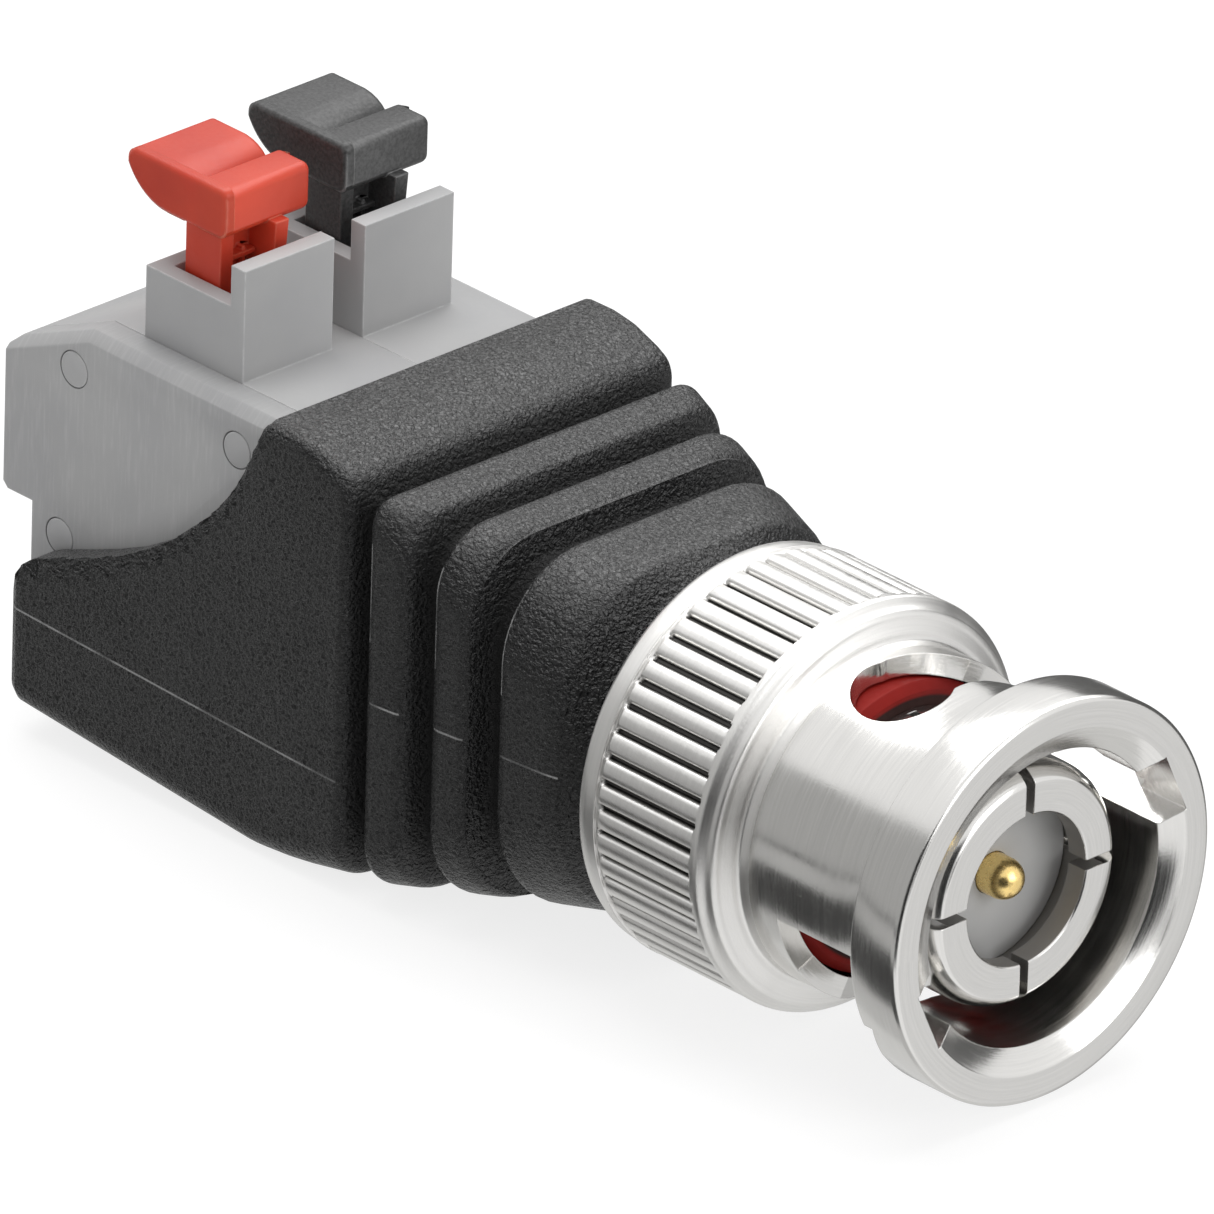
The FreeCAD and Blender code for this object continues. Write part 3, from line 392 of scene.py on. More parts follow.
TIN = nickel("tin_plate", 0.1, (0.3, 0.45), 0.2, (0.7, 0.7, 0.68))
SPRING = nickel("spring_steel", 0.1, (0.28, 0.42), 0.15, (0.6, 0.6, 0.6))
COPPER = nickel("copper_wire", 0.05, (0.3, 0.4), 0.1, (0.8, 0.5, 0.36))
SLEEVING = plastic("pale_sleeving", (0.7, 0.66, 0.55), (0.6, 0.57, 0.48), 0.5, 2500.0, 0.1)


def gold():
    """Gold plate with small dark pits."""
    n = Nodes("gold_plate")
    speck = n.noise(n.coords(), 5200.0, 4.0, 0.7)
    pit = n.span(speck, 0.60, 0.72)
    color = n.mix(pit, (1.0, 0.74, 0.30, 1), (0.24, 0.14, 0.04, 1))
    normal = n.bump(speck, 0.25, 0.02)
    return n.surface(color, n.span(speck, 0.4, 0.7, 0.2, 0.38), 1.0, normal)


GOLD = gold()


# Mesh helpers
def from_bmesh(bm, name, material, smooth=True):
    """A new object from a mesh that is finished."""
    bmesh.ops.recalc_face_normals(bm, faces=bm.faces)
    mesh = bpy.data.meshes.new(name)
    bm.to_mesh(mesh)
    bm.free()
    mesh.materials.append(material)
    if smooth:
        mesh.shade_smooth()
    obj = bpy.data.objects.new(name, mesh)
    bpy.context.scene.collection.objects.link(obj)
    return obj


def apply_modifiers(obj):
    graph = bpy.context.evaluated_depsgraph_get()
    mesh = bpy.data.meshes.new_from_object(obj.evaluated_get(graph))
    obj.modifiers.clear()
    obj.data = mesh


def boolean(obj, cutters, operation="DIFFERENCE"):
    """The object cut by, or kept within, other objects, which are then removed."""
    for cutter in cutters:
        cut = obj.modifiers.new("cut", "BOOLEAN")
        cut.operation = operation
        cut.object = cutter
        cut.solver = "EXACT"
    apply_modifiers(obj)
    for cutter in cutters:
        bpy.data.objects.remove(cutter)
    return obj


def sharp(obj, degrees):
    """Smooth faces, with hard edges where faces meet at more than this angle."""
    obj.data.shade_smooth()
    obj.data.set_sharp_from_angle(angle=math.radians(degrees))
    return obj


def lathe(name, profile, segments, material, shape=None):
    """A closed ring turned from (x, r) points; shape(x, r, deg) may move each point's radius."""
    bm = bmesh.new()
    rows = []
    for x, r in profile:
        row = []
        for k in range(segments):
            deg = 360.0 * k / segments
            radius = shape(x, r, deg) if shape else r
            row.append(bm.verts.new(polar(x, radius, deg)))
        rows.append(row)
    count = len(rows)
    for i in range(count):
        a = rows[i]
        b = rows[(i + 1) % count]
        for k in range(segments):
            j = (k + 1) % segments
            bm.faces.new((a[k], a[j], b[j], b[k]))
    return from_bmesh(bm, name, material)


def loft(bm, rings):
    """Skin equal rings of points with quads, and cap both ends."""
    rows = [[bm.verts.new(p) for p in ring] for ring in rings]
    n = len(rows[0])
    for a, b in zip(rows, rows[1:]):
        for k in range(n):
            j = (k + 1) % n
            bm.faces.new((a[k], a[j], b[j], b[k]))
    bm.faces.new(rows[0][::-1])
    bm.faces.new(rows[-1])


def prism(name, outline, y0, y1, material):
    """An XZ outline pushed along Y."""
    bm = bmesh.new()
    loft(bm, [[point(x, y, z) for x, z in outline] for y in (y0, y1)])
    return from_bmesh(bm, name, material, False)


def block(name, x0, x1, y0, y1, z0, z1, material):
    """A plain box that other pieces are cut with."""
    return prism(name, [(x0, z0), (x1, z0), (x1, z1), (x0, z1)], y0, y1, material)


def cut_below(bm, height, reach):
    """Keep what lies below a height, close the cut and stretch its face up by the reach."""
    geom = bm.verts[:] + bm.edges[:] + bm.faces[:]
    cut = bmesh.ops.bisect_plane(bm, geom=geom, plane_co=point(0, 0, height), plane_no=(0, 0, 1),
                                 clear_outer=True)
    rim = [item for item in cut["geom_cut"] if isinstance(item, bmesh.types.BMEdge)]
    bmesh.ops.holes_fill(bm, edges=rim)
    for vert in bm.verts:
        if vert.co.z > (height - 0.001) * MM:
            vert.co.z += reach * MM


def dress(node, material, width, segments=2, below=None, reach=0.0):
    """A node's own solid with every hard edge rounded, or its part below a height, stretched up a little."""
    hard = 35.0
    bm = bmesh.new()
    bm.from_mesh(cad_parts[node].data)
    bmesh.ops.remove_doubles(bm, verts=bm.verts, dist=1e-7)
    if below is not None:
        cut_below(bm, below, reach)
    bmesh.ops.dissolve_limit(bm, angle_limit=math.radians(0.5), verts=bm.verts, edges=bm.edges)
    obj = from_bmesh(bm, node + "_moulded", material)
    rounding = obj.modifiers.new("edges", "BEVEL")
    rounding.width = width * MM
    rounding.segments = segments
    rounding.limit_method = "ANGLE"
    rounding.angle_limit = math.radians(hard)
    rounding.harden_normals = True
    rounding.use_clamp_overlap = True
    apply_modifiers(obj)
    return sharp(obj, hard)


def merged(objects):
    """One object with the meshes of several, which may stand in one another."""
    bm = bmesh.new()
    for obj in objects:
        bm.from_mesh(obj.data)
    for obj in objects[1:]:
        bpy.data.objects.remove(obj)
    bm.to_mesh(objects[0].data)
    bm.free()
    return objects[0]


def between(table, x):
    """The row of a table, without its first number, read off in line at this first number."""
    if x <= table[0][0]:
        return table[0][1:]
    for a, b in zip(table, table[1:]):
        if a[0] <= x <= b[0]:
            t = (x - a[0]) / (b[0] - a[0])
            return tuple(u + (v - u) * t for u, v in zip(a[1:], b[1:]))
    return table[-1][1:]


def spaced(start, end, count):
    """Equal steps from start, which is left out, to end."""
    return [start + (end - start) * k / count for k in range(1, count + 1)]


def replace(obj, body, node):
    """The piece rides on its body and takes the place of this node, which is hidden."""
    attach(obj, body)
    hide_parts(node)


# Coupling sleeve
BARS = 50
STEPS_PER_BAR = 16
# As shares of half a bar's pitch: a bar's half width, how much that varies, and the width of its flank
BAR_SHARE, BAR_VARIES, FLANK_SHARE = 0.68, 0.05, 0.17
# How much lower a bar is at its shoulders than along its middle, as a share of its height
BAR_CROWN = 0.22


def ease(t):
    """A soft step: nought below nought, one above one."""
    t = max(0.0, min(1.0, t))
    return t * t * (3 - 2 * t)


def chance(bar, trait):
    """A fixed number from nought to one for a bar and a trait, with no pattern to the eye."""
    s = math.sin(bar * 12.9898 + trait * 78.233) * 43758.5453
    return s - math.floor(s)


def knurl(x, r, deg):
    """Rounded bars with narrow gaps, each a little different from the next."""
    if r < BAR_ROOT - 0.12 or x > KNURL_FRONT + 0.12 or x < KNURL_REAR - 0.06:
        return r
    step = 360.0 / BARS
    index = math.floor(deg / step + 0.5)
    bar = index % BARS
    off = abs(deg - index * step) / (step / 2)
    wide = BAR_SHARE + BAR_VARIES * chance(bar, 3)
    flank = 1.0 - ease((off - wide) / FLANK_SHARE)
    crown = 1.0 - BAR_CROWN * min(off / wide, 1.0) ** 2
    level = BAR_ROOT + (BAR_TOP - BAR_ROOT) * flank * crown
    front = KNURL_FRONT - 0.10 * chance(bar, 7)
    rear = KNURL_REAR + 0.06 * chance(bar, 11)
    ends = ease((front + 0.04 - x) / 0.16) * ease((x - rear + 0.02) / 0.12)
    if x > front:
        rim = r if r > BAR_TOP - 0.06 else BAR_TOP - 0.05
        return level * ends + rim * (1 - ends)
    if x < rear + 0.12:
        return level * ends + (BAR_TOP - 0.10) * (1 - ends)
    return level


def sleeve_rear():
    """The shoulder, the knurl and the skirt, with the lip inside that holds the washers."""
    shoulder = [(-7.6, TUBE_R), (-7.96, TUBE_R), (-8.02, 5.66), (-8.03, 5.78), (-8.08, 5.92), (-8.2, 6.18),
                (-8.24, 6.3), (-8.27, 6.46), (-8.34, 6.52), (-8.42, 6.55), (-8.5, 6.6), (-8.6, 6.7),
                (-8.66, 6.77), (-8.72, 6.82), (RIM_FRONT, BAR_TOP)]
    bars = [-8.84] + spaced(-8.84, -9.14, 9) + spaced(-9.14, -12.99, 9) + spaced(-12.99, -13.23, 7)
    skirt = [(-13.3, 6.75), (-13.6, 6.76), (-13.85, 6.75), (-13.97, 6.7), (-14.06, 6.6), (SLEEVE_REAR, 6.45),
             (SLEEVE_REAR, 5.95), (-14.05, 5.82), (-13.95, 5.76), (-11.9, 5.75)]
    lip = [(-11.9, 3.33), (-11.1, 3.33), (-11.1, BORE_R), (-7.6, BORE_R)]
    profile = shoulder + [(x, BAR_TOP) for x in bars] + skirt + lip
    return sharp(lathe("sleeve_knurl", profile, BARS * STEPS_PER_BAR, KNURLED, knurl), 50)


# One bayonet slot: angle of the channel and its width, then angle, x and radius of the lock hole
CHANNEL_ANGLE, CHANNEL_W = 25.0, 2.3
LOCK_ANGLE, LOCK_X, LOCK_R = 101.0, -5.8, 1.62
RAMP_START = 26.0
SLOT_CUT_R = (4.3, 7.4)
# The channel's cuts, rear and front x, then inner and outer radius: under the collar, and through the tube
CHANNEL_CUTS = ((COLLAR_REAR - 0.05, 1.0, 3.5, 5.7), (-6.45, COLLAR_REAR - 0.02, 3.5, 9.0))
# Angle and x along the ramp's front and rear edges
RAMP_FRONT = [(20, -1.4), (39.0, -1.9), (47.0, -2.55), (55.0, -3.1), (63.0, -3.65), (70.0, -4.15),
              (77.0, -4.5), (84.0, -4.6), (90.0, -4.55), (120, -4.5)]
RAMP_REAR = [(20, -6.35), (39.0, -6.42), (55.0, -6.45), (63.0, -6.5), (70.0, -6.7), (77.0, -6.95),
             (84.0, -7.15), (92, -7.3), (120, -7.3)]


def slot_edges(deg):
    """Front and rear x of the bayonet slot at this angle round the tube."""
    front = between(RAMP_FRONT, deg)[0]
    rear = between(RAMP_REAR, deg)[0]
    along = math.radians(deg - LOCK_ANGLE) * TUBE_R
    if abs(along) >= LOCK_R:
        return front, rear
    reach = math.sqrt(LOCK_R ** 2 - along ** 2)
    if deg > LOCK_ANGLE:
        return LOCK_X + reach, LOCK_X - reach
    return max(front, LOCK_X + reach), min(rear, LOCK_X - reach)


def slot_angles():
    """A degree apart along the ramp, and closer where the lock hole closes."""
    last = LOCK_ANGLE + math.degrees(LOCK_R / TUBE_R) - 0.02
    degs = [RAMP_START + k for k in range(int(last - RAMP_START))]
    degs += [last - short for short in (2.2, 1.4, 0.8, 0.35, 0.1, 0.0)]
    return sorted(set(degs))


def slot_cutters(turned):
    """The channel at the mouth, and the ramp with its lock hole as one strip of radial walls."""
    low, high = SLOT_CUT_R
    rings = []
    for deg in slot_angles():
        front, rear = slot_edges(deg)
        corners = ((front, low), (front, high), (rear, high), (rear, low))
        rings.append([polar(x, r, deg + turned) for x, r in corners])
    bm = bmesh.new()
    loft(bm, rings)
    cutters = [from_bmesh(bm, "cut_strip", NICKEL, False)]
    half = CHANNEL_W / 2
    a = math.radians(CHANNEL_ANGLE + turned)
    for x0, x1, r0, r1 in CHANNEL_CUTS:
        corners = ((-half, r0), (half, r0), (half, r1), (-half, r1))
        bm = bmesh.new()
        loft(bm, [[point(x, math.cos(a) * r - math.sin(a) * w, math.sin(a) * r + math.cos(a) * w)
                   for w, r in corners] for x in (x0, x1)])
        cutters.append(from_bmesh(bm, "cut_channel", NICKEL, False))
    return cutters


def sleeve_front():
    """The collar at the mouth and the tube behind it, with both bayonet slots."""
    mouth = [(-0.42, BORE_R), (-0.36, 4.95), (-0.03, 5.67), (0, 5.72), (0, 6.52), (-0.02, 6.6), (-0.07, 6.66),
             (-0.14, 6.7), (-0.22, COLLAR_R)]
    collar = [(-1.0, COLLAR_R), (-1.88, COLLAR_R), (-1.96, 6.69), (-2.01, 6.63), (COLLAR_REAR, 6.56),
              (COLLAR_REAR, 5.68), (-2.06, 5.62), (-2.12, TUBE_R)]
    tube = [(-4.0, TUBE_R), (-6.0, TUBE_R), (TUBE_REAR, TUBE_R), (TUBE_REAR, BORE_R), (-5.0, BORE_R),
            (-2.5, BORE_R)]
    body = lathe("sleeve_tube", mouth + collar + tube, 288, NICKEL)
    return sharp(boolean(body, slot_cutters(0) + slot_cutters(180)), 28)


replace(sleeve_front(), "coupling", "coupling_sleeve")
replace(sleeve_rear(), "coupling", "coupling_sleeve")


# Outer conductor and centre pin
FINGER_R, FINGER_BORE_R = 4.05, 3.1
FINGER_SLOT_END, FINGER_SLOT_HALF = -6.4, 0.18
CONDUCTOR_REAR, BARREL_R, BARREL_BORE_R = -19.6, 3.25, 1.9
PIN_R, PIN_ROUND_X = 0.675, -2.195


def fingers():
    """The four fingers, the flange behind them and the barrel with its clip groove."""
    nose = [(-1.16, 2.54), (-1.13, 2.58), (-1.13, 3.54), (-1.15, 3.62), (-1.22, 3.72), (-1.4, 3.87),
            (-1.6, 3.98), (-1.85, 4.04), (-2.1, FINGER_R), (-6.6, FINGER_R), (-6.6, 3.8), (-8.4, 3.8)]
    flange = [(-8.4, 4.75), (-8.45, 4.8), (-9.25, 4.8), (-9.3, 4.75), (-9.3, BARREL_R)]
    groove = [(-12.02, BARREL_R), (-12.02, 2.9), (-12.42, 2.9), (-12.42, BARREL_R)]
    barrel = [(CONDUCTOR_REAR, BARREL_R), (CONDUCTOR_REAR, BARREL_BORE_R), (-10.0, BARREL_BORE_R)]
    bore = [(-10.0, FINGER_BORE_R), (-1.95, FINGER_BORE_R), (-1.9, 3.06), (-1.9, 2.52), (-1.2, 2.52)]
    body = lathe("finger_body", nose + flange + groove + barrel + bore, 192, NICKEL_INNER)
    half, over = FINGER_SLOT_HALF, FINGER_R + 1.15
    cuts = [block("cut_a", FINGER_SLOT_END, 0, -over, over, -half, half, NICKEL_INNER),
            block("cut_b", FINGER_SLOT_END, 0, -half, half, -over, over, NICKEL_INNER)]
    return sharp(boolean(body, cuts), 30)


def pin():
    """The turned pin with its solder tail, its retaining collar and a round tip."""
    profile = [(-20.6, 0.001), (-20.6, 0.6), (-9.9, 0.6), (-9.9, 1.05), (-8.3, 1.05), (-8.3, PIN_R),
               (-2.2, PIN_R)]
    for k in range(1, 16):
        a = math.radians(90.0 * k / 16)
        profile.append((PIN_ROUND_X + PIN_R * math.sin(a), PIN_R * math.cos(a)))
    profile.append((PIN_ROUND_X + PIN_R, 0.001))
    return sharp(lathe("pin_turned", profile, 64, GOLD), 40)


replace(fingers(), "plug", "outer_conductor")
replace(pin(), "plug", "centre_pin")

# Nodes whose shape stays, with their finish
for node, material in (("gasket", RUBBER), ("dielectric", DIELECTRIC), ("rear_insulator", DIELECTRIC),
                       ("front_washer", SPRING), ("rear_washer", SPRING), ("wave_washer", SPRING),
                       ("retaining_clip", SPRING), ("signal_contact", TIN), ("ground_contact", TIN),
                       ("signal_spring", SPRING), ("ground_spring", SPRING), ("signal_wire", COPPER),
                       ("ground_wire", COPPER), ("signal_sleeving", SLEEVING), ("solder_joints", TIN)):
    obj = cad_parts[node]
    obj.data.materials.clear()
    obj.data.materials.append(material)


# Terminal block and levers
LEVER_Y = {"signal_lever": -4.48, "ground_lever": 0.6}
HEAD_TOP, HEAD_LOW, HEAD_FRONT, HEAD_REAR = 12.98, 11.28, -33.35, -37.88
HEAD_Y = (0.53, 4.25)
HEAD_WALL = 0.42
# How far the fork and the bar lie below the wall's top, and how far they start behind its near face
SET_LOW, SET_BACK = 0.08, 0.1
CURVE_START_X = -36.0
SLOT_FACE_X = -35.15
BAR_REAR_X = -34.72


def arc(cx, cz, r, start, end, steps=8):
    points = []
    for k in range(steps + 1):
        a = math.radians(start + (end - start) * k / steps)
        points.append((cx + r * math.cos(a), cz + r * math.sin(a)))
    return points


def quarter(r, steps):
    """How far along and how far out a quarter round has come at each step."""
    turns = [math.radians(90.0 * k / steps) for k in range(steps + 1)]
    return [(r * (1 - math.cos(a)), r * math.sin(a)) for a in turns]


def outward(outline):
    """The direction out of the outline at each of its points."""
    area = sum(a[0] * b[1] - b[0] * a[1] for a, b in zip([outline[-1]] + outline, outline))
    side = 1 if area > 0 else -1
    directions = []
    for i in range(len(outline)):
        ax, az = outline[i - 1]
        bx, bz = outline[(i + 1) % len(outline)]
        d = side * math.hypot(bx - ax, bz - az)
        directions.append(((bz - az) / d, -(bx - ax) / d))
    return directions


def pillow(name, outline, y0, y1, near_r, far_r, material, steps=6):
    """A convex XZ outline pushed along Y, its edges rounded at the near and the far end."""
    near = [(y0 + along, near_r - out) for along, out in quarter(near_r, steps)]
    far = [(y1 - along, far_r - out) for along, out in quarter(far_r, steps)]
    directions = outward(outline)
    loops = []
    for y, short in near + far[::-1]:
        loop = [point(x - nx * short, y, z - nz * short) for (x, z), (nx, nz) in zip(outline, directions)]
        loops.append(loop)
    bm = bmesh.new()
    loft(bm, loops)
    return from_bmesh(bm, name, material)


def head_outline():
    """Clockwise from the top: round front corners, flat underside, the long curve up to the nose."""
    r, low_r, nose, curve_end_z = 0.28, 0.42, 0.43, 12.4
    reach, rise = CURVE_START_X - HEAD_REAR, curve_end_z - HEAD_LOW
    big = (reach * reach + rise * rise) / (2 * rise)
    swing = math.degrees(math.atan2(reach, big - rise))
    out = arc(HEAD_FRONT - r, HEAD_TOP - r, r, 90, 0)
    out += arc(HEAD_FRONT - low_r, HEAD_LOW + low_r, low_r, 0, -90)
    out += arc(CURVE_START_X, HEAD_LOW + big, big, -90, -90 - swing, 14)
    out += arc(HEAD_REAR + nose, HEAD_TOP - nose, nose, 180, 90)
    return out


def fork_outline(top):
    """The head's rear part behind the slot, its top edge falling away in a curve to the slot's face."""
    low = [(SLOT_FACE_X, HEAD_LOW + 0.06), (-35.3, HEAD_LOW), (CURVE_START_X, HEAD_LOW)]
    rear = [(x, min(z, top)) for x, z in head_outline() if x < CURVE_START_X + 0.1 and z > HEAD_LOW + 0.01]
    fall = [(-36.3, 0.0), (-36.0, 0.05), (-35.72, 0.15), (-35.48, 0.29), (-35.3, 0.46), (-35.19, 0.66),
            (SLOT_FACE_X, 0.9)]
    return low + rear + [(x, top - drop) for x, drop in fall]


def bar_outline(top):
    """The upright bar in front of the slot."""
    r, low_r, top_r = 0.3, 0.1, 0.07
    face = HEAD_FRONT - 0.03
    front = arc(face - r, top - r, r, 90, 0) + arc(face - r, HEAD_LOW + r, r, 0, -90)
    front += arc(BAR_REAR_X + low_r, HEAD_LOW + low_r, low_r, -90, -180, 3)
    front += arc(BAR_REAR_X + top_r, top - top_r, top_r, 180, 90, 3)
    return front


def lever_piece(node, material):
    """The forked head with rounded edges, on the node's own stem."""
    near, far = [LEVER_Y[node] + y for y in HEAD_Y]
    top = HEAD_TOP - SET_LOW
    stem = dress(node, material, 0.07, below=HEAD_LOW - 0.02, reach=0.2)
    wall = pillow("wall", head_outline(), near, near + HEAD_WALL, 0.2, 0.05, material)
    fork = pillow("fork", fork_outline(top), near + SET_BACK, far, 0.0, 0.34, material)
    bar = pillow("bar", bar_outline(top), near + SET_BACK, far, 0.0, 0.3, material)
    return sharp(merged([stem, wall, fork, bar]), 38)


replace(dress("end_cover", COVER, 0.22, segments=3), "plug", "end_cover")
replace(dress("signal_housing", GREY, 0.07), "plug", "signal_housing")
replace(dress("ground_housing", GREY, 0.07), "plug", "ground_housing")
replace(lever_piece("signal_lever", RED), "red_lever", "signal_lever")
replace(lever_piece("ground_lever", BLACK), "black_lever", "ground_lever")


# Shell
# The side cut-out's edge in the side view, from the roof's rear down to the underside's rear corner
SIDE = [(-28.1, 7.95), (-28.4, 7.35), (-28.74, 6.79), (-29.05, 6.15), (-29.4, 5.5), (-29.82, 4.82),
        (-30.3, 4.2), (-30.9, 3.57), (-31.54, 3.0), (-32.45, 2.22), (-33.46, 1.55), (-34.6, 0.88),
        (-35.9, 0.3), (-37.1, -0.18), (-38.3, -0.62), (-38.8, -0.86), (-39.15, -1.15), (-39.38, -1.55),
        (-39.5, -2.1), (-39.5, -5.6), (-39.35, -5.95), (-39.0, -6.25), (-38.5, -6.5)]
ROOF_REAR = SIDE[0][0]
# x, half width, top, bottom, top corner's radius, bottom corner's radius
STATIONS = [(-41.0, 7.0, 10.75, -6.04, 0.5, 0.9), (-34.0, 7.0, 9.2, -6.56, 0.5, 0.9),
            (-28.6, 7.0, 8.06, -6.95, 0.5, 0.9), (ROOF_REAR, 7.0, 8.02, -6.93, 0.5, 0.9),
            (-27.0, 7.0, 8.04, -6.86, 0.5, 0.95), (-26.1, 6.99, 7.92, -6.8, 0.5, 1.1),
            (-25.0, 6.97, 7.57, -6.72, 0.55, 1.4), (BODY_FRONT, 6.95, 7.24, -6.68, 0.6, 1.6),
            (-23.41, 6.95, 7.06, -6.64, 0.9, 1.75), (-18.15, 6.33, 6.46, -6.14, 3.22, 4.14),
            (-16.2, 6.12, 6.27, -5.98, 4.0, 4.95), (-15.75, 6.02, 6.17, -5.9, 4.3, 5.15),
            (-15.45, 5.86, 5.95, -5.76, 4.7, 5.3), (-15.15, 5.66, 5.72, -5.6, 5.0, 5.4),
            (-14.8, 5.5, 5.52, -5.46, 5.3, 5.42), (-14.4, 5.42, 5.42, -5.42, 5.42, 5.42),
            (-13.6, 5.4, 5.4, -5.4, 5.4, 5.4), (NECK_FRONT, 5.25, 5.25, -5.25, 5.25, 5.25)]
# x, and the rounding of the side cut-out's edge there
EDGE_ROUND = [(-39.1, 0.15), (-38.6, 0.42), (-28.9, 0.42), (-28.45, 0.14)]
# Grooves: depth, width of the curved wall, and depth and width of the eased lip beside them
GROOVE_DEPTH, GROOVE_WALL = 0.85, 0.34
LIP_DEPTH, LIP_WIDTH = 0.16, 0.42
# Behind the first x the cut-out's edge is rounded all round, behind the second all but the underside
ROUNDED_BEHIND = (-38.9, -24.6)
# Room inside the shell, as rear and front x, half width, and low and high z
ROOMS = {"cut_seat": (-45, -26.9, 5.78, -5.3, 7.25), "cut_above": (-45, -28.75, 5.78, 0, 14),
         "cut_room": (-27.2, -24.0, 5.2, -4.9, 5.6), "cut_hollow": (-24.2, -18.3, 4.55, -4.55, 4.55)}
BARREL_HOLE = [(-20, 0.001), (-20, BARREL_R + 0.01), (-12, BARREL_R + 0.01), (-12, 0.001)]


def inset(x):
    """How far the grooves and their eased lips stand back from the shell's sides at this x."""
    out = 0.0
    for rear, front in GROOVES:
        if rear < x < front:
            wall = min(min(x - rear, front - x) / GROOVE_WALL, 1.0)
            out = max(out, GROOVE_DEPTH * (1 - (1 - wall) ** 2.6) + 0.06)
        else:
            away = rear - x if x < rear else x - front
            if away < LIP_WIDTH:
                out = max(out, LIP_DEPTH * (1 - away / LIP_WIDTH) ** 2.2)
    return out


def section(x, per_corner=12, per_side=26):
    """Points round the shell at this x, each with its outward direction, as (y, z, ny, nz)."""
    half, top, bottom, top_r, bottom_r = between(STATIONS, x)
    back = inset(x)
    half -= back
    top -= back
    bottom += back
    top_r = max(0.35, top_r - back * 0.4)
    bottom_r = max(0.35, bottom_r - back * 0.4)
    corners = [(half - top_r, top - top_r, top_r, 0), (-(half - top_r), top - top_r, top_r, 90),
               (-(half - bottom_r), bottom + bottom_r, bottom_r, 180),
               (half - bottom_r, bottom + bottom_r, bottom_r, 270)]
    points = []
    for n, (cy, cz, r, start) in enumerate(corners):
        for k in range(per_corner + 1):
            a = math.radians(start + 90.0 * k / per_corner)
            points.append((cy + r * math.cos(a), cz + r * math.sin(a), math.cos(a), math.sin(a)))
        next_y, next_z, next_r, next_start = corners[(n + 1) % 4]
        a = math.radians(next_start)
        begin_y, begin_z = points[-1][:2]
        end_y, end_z = next_y + next_r * math.cos(a), next_z + next_r * math.sin(a)
        for k in range(1, per_side):
            t = k / per_side
            points.append((begin_y + (end_y - begin_y) * t, begin_z + (end_z - begin_z) * t,
                           math.cos(a), math.sin(a)))
    return points


def edge_distance(x, z):
    """Distance inside the side cut-out's edge, in the side view."""
    best = math.inf
    for (ax, az), (bx, bz) in zip(SIDE, SIDE[1:]):
        dx, dz = bx - ax, bz - az
        t = max(0.0, min(1.0, ((x - ax) * dx + (z - az) * dz) / (dx * dx + dz * dz)))
        away = math.hypot(x - ax - dx * t, z - az - dz * t)
        if away < best:
            best = away
            inside = dx * (z - az - dz * t) - dz * (x - ax - dx * t) > 0
    return best if inside else -best


def edge_drop(x, z, radius):
    """How far a rounding of this radius stands back here from the wall."""
    d = max(edge_distance(x, z), 0.0)
    if d >= radius:
        return 0.0
    return radius - math.sqrt(radius ** 2 - (radius - d) ** 2)


def shell_xs():
    """The x of each ring round the shell, closest together along the ribs."""
    xs = []
    x = -40.4
    for end, step in ((-28.0, 0.3), (-25.0, 0.25), (-15.0, 0.075), (-13.5, 0.12)):
        while x < end:
            xs.append(x)
            x += step
    roof_rear = [ROOF_REAR + 0.02, ROOF_REAR + 0.06, ROOF_REAR + 0.12]
    return sorted(xs + roof_rear + [NECK_FRONT - 0.05, NECK_FRONT])


def shell_ring(x):
    """One ring of points round the shell, drawn in where the cut-out's edge is rounded."""
    radius = between(EDGE_ROUND, x)[0]
    ring = []
    for y, z, ny, nz in section(x):
        if x < ROUNDED_BEHIND[0] or (x < ROUNDED_BEHIND[1] and nz > -0.1):
            drop = edge_drop(x, z, radius)
            y -= ny * drop
            z -= nz * drop
        ring.append(point(x, y, z))
    return ring


def shell_piece():
    """The ribbed moulding with its sides cut away, and its seat, rooms and hole inside."""
    bm = bmesh.new()
    loft(bm, [shell_ring(x) for x in shell_xs()])
    body = from_bmesh(bm, "shell_moulded", SHELL)
    kept = SIDE + [(-37.0, -9.0), (-10, -9.0), (-10, 12.0), (ROOF_REAR, 12.0)]
    boolean(body, [prism("cut_side", kept, -9, 9, SHELL)], "INTERSECT")
    cuts = [block(name, rear, front, -half, half, low, high, SHELL)
            for name, (rear, front, half, low, high) in ROOMS.items()]
    cuts.append(lathe("cut_barrel", BARREL_HOLE, 96, SHELL))
    return sharp(boolean(body, cuts), 40)


replace(shell_piece(), "plug", "shell")


# Floor, reflected cards, lamps and world
def floor_plane(half, z):
    """A level square under the part."""
    bm = bmesh.new()
    corners = ((-half, -half), (half, -half), (half, half), (-half, half))
    bm.faces.new([bm.verts.new(Vector((x, y, z))) for x, y in corners])
    return from_bmesh(bm, "floor", floor_material(), False)


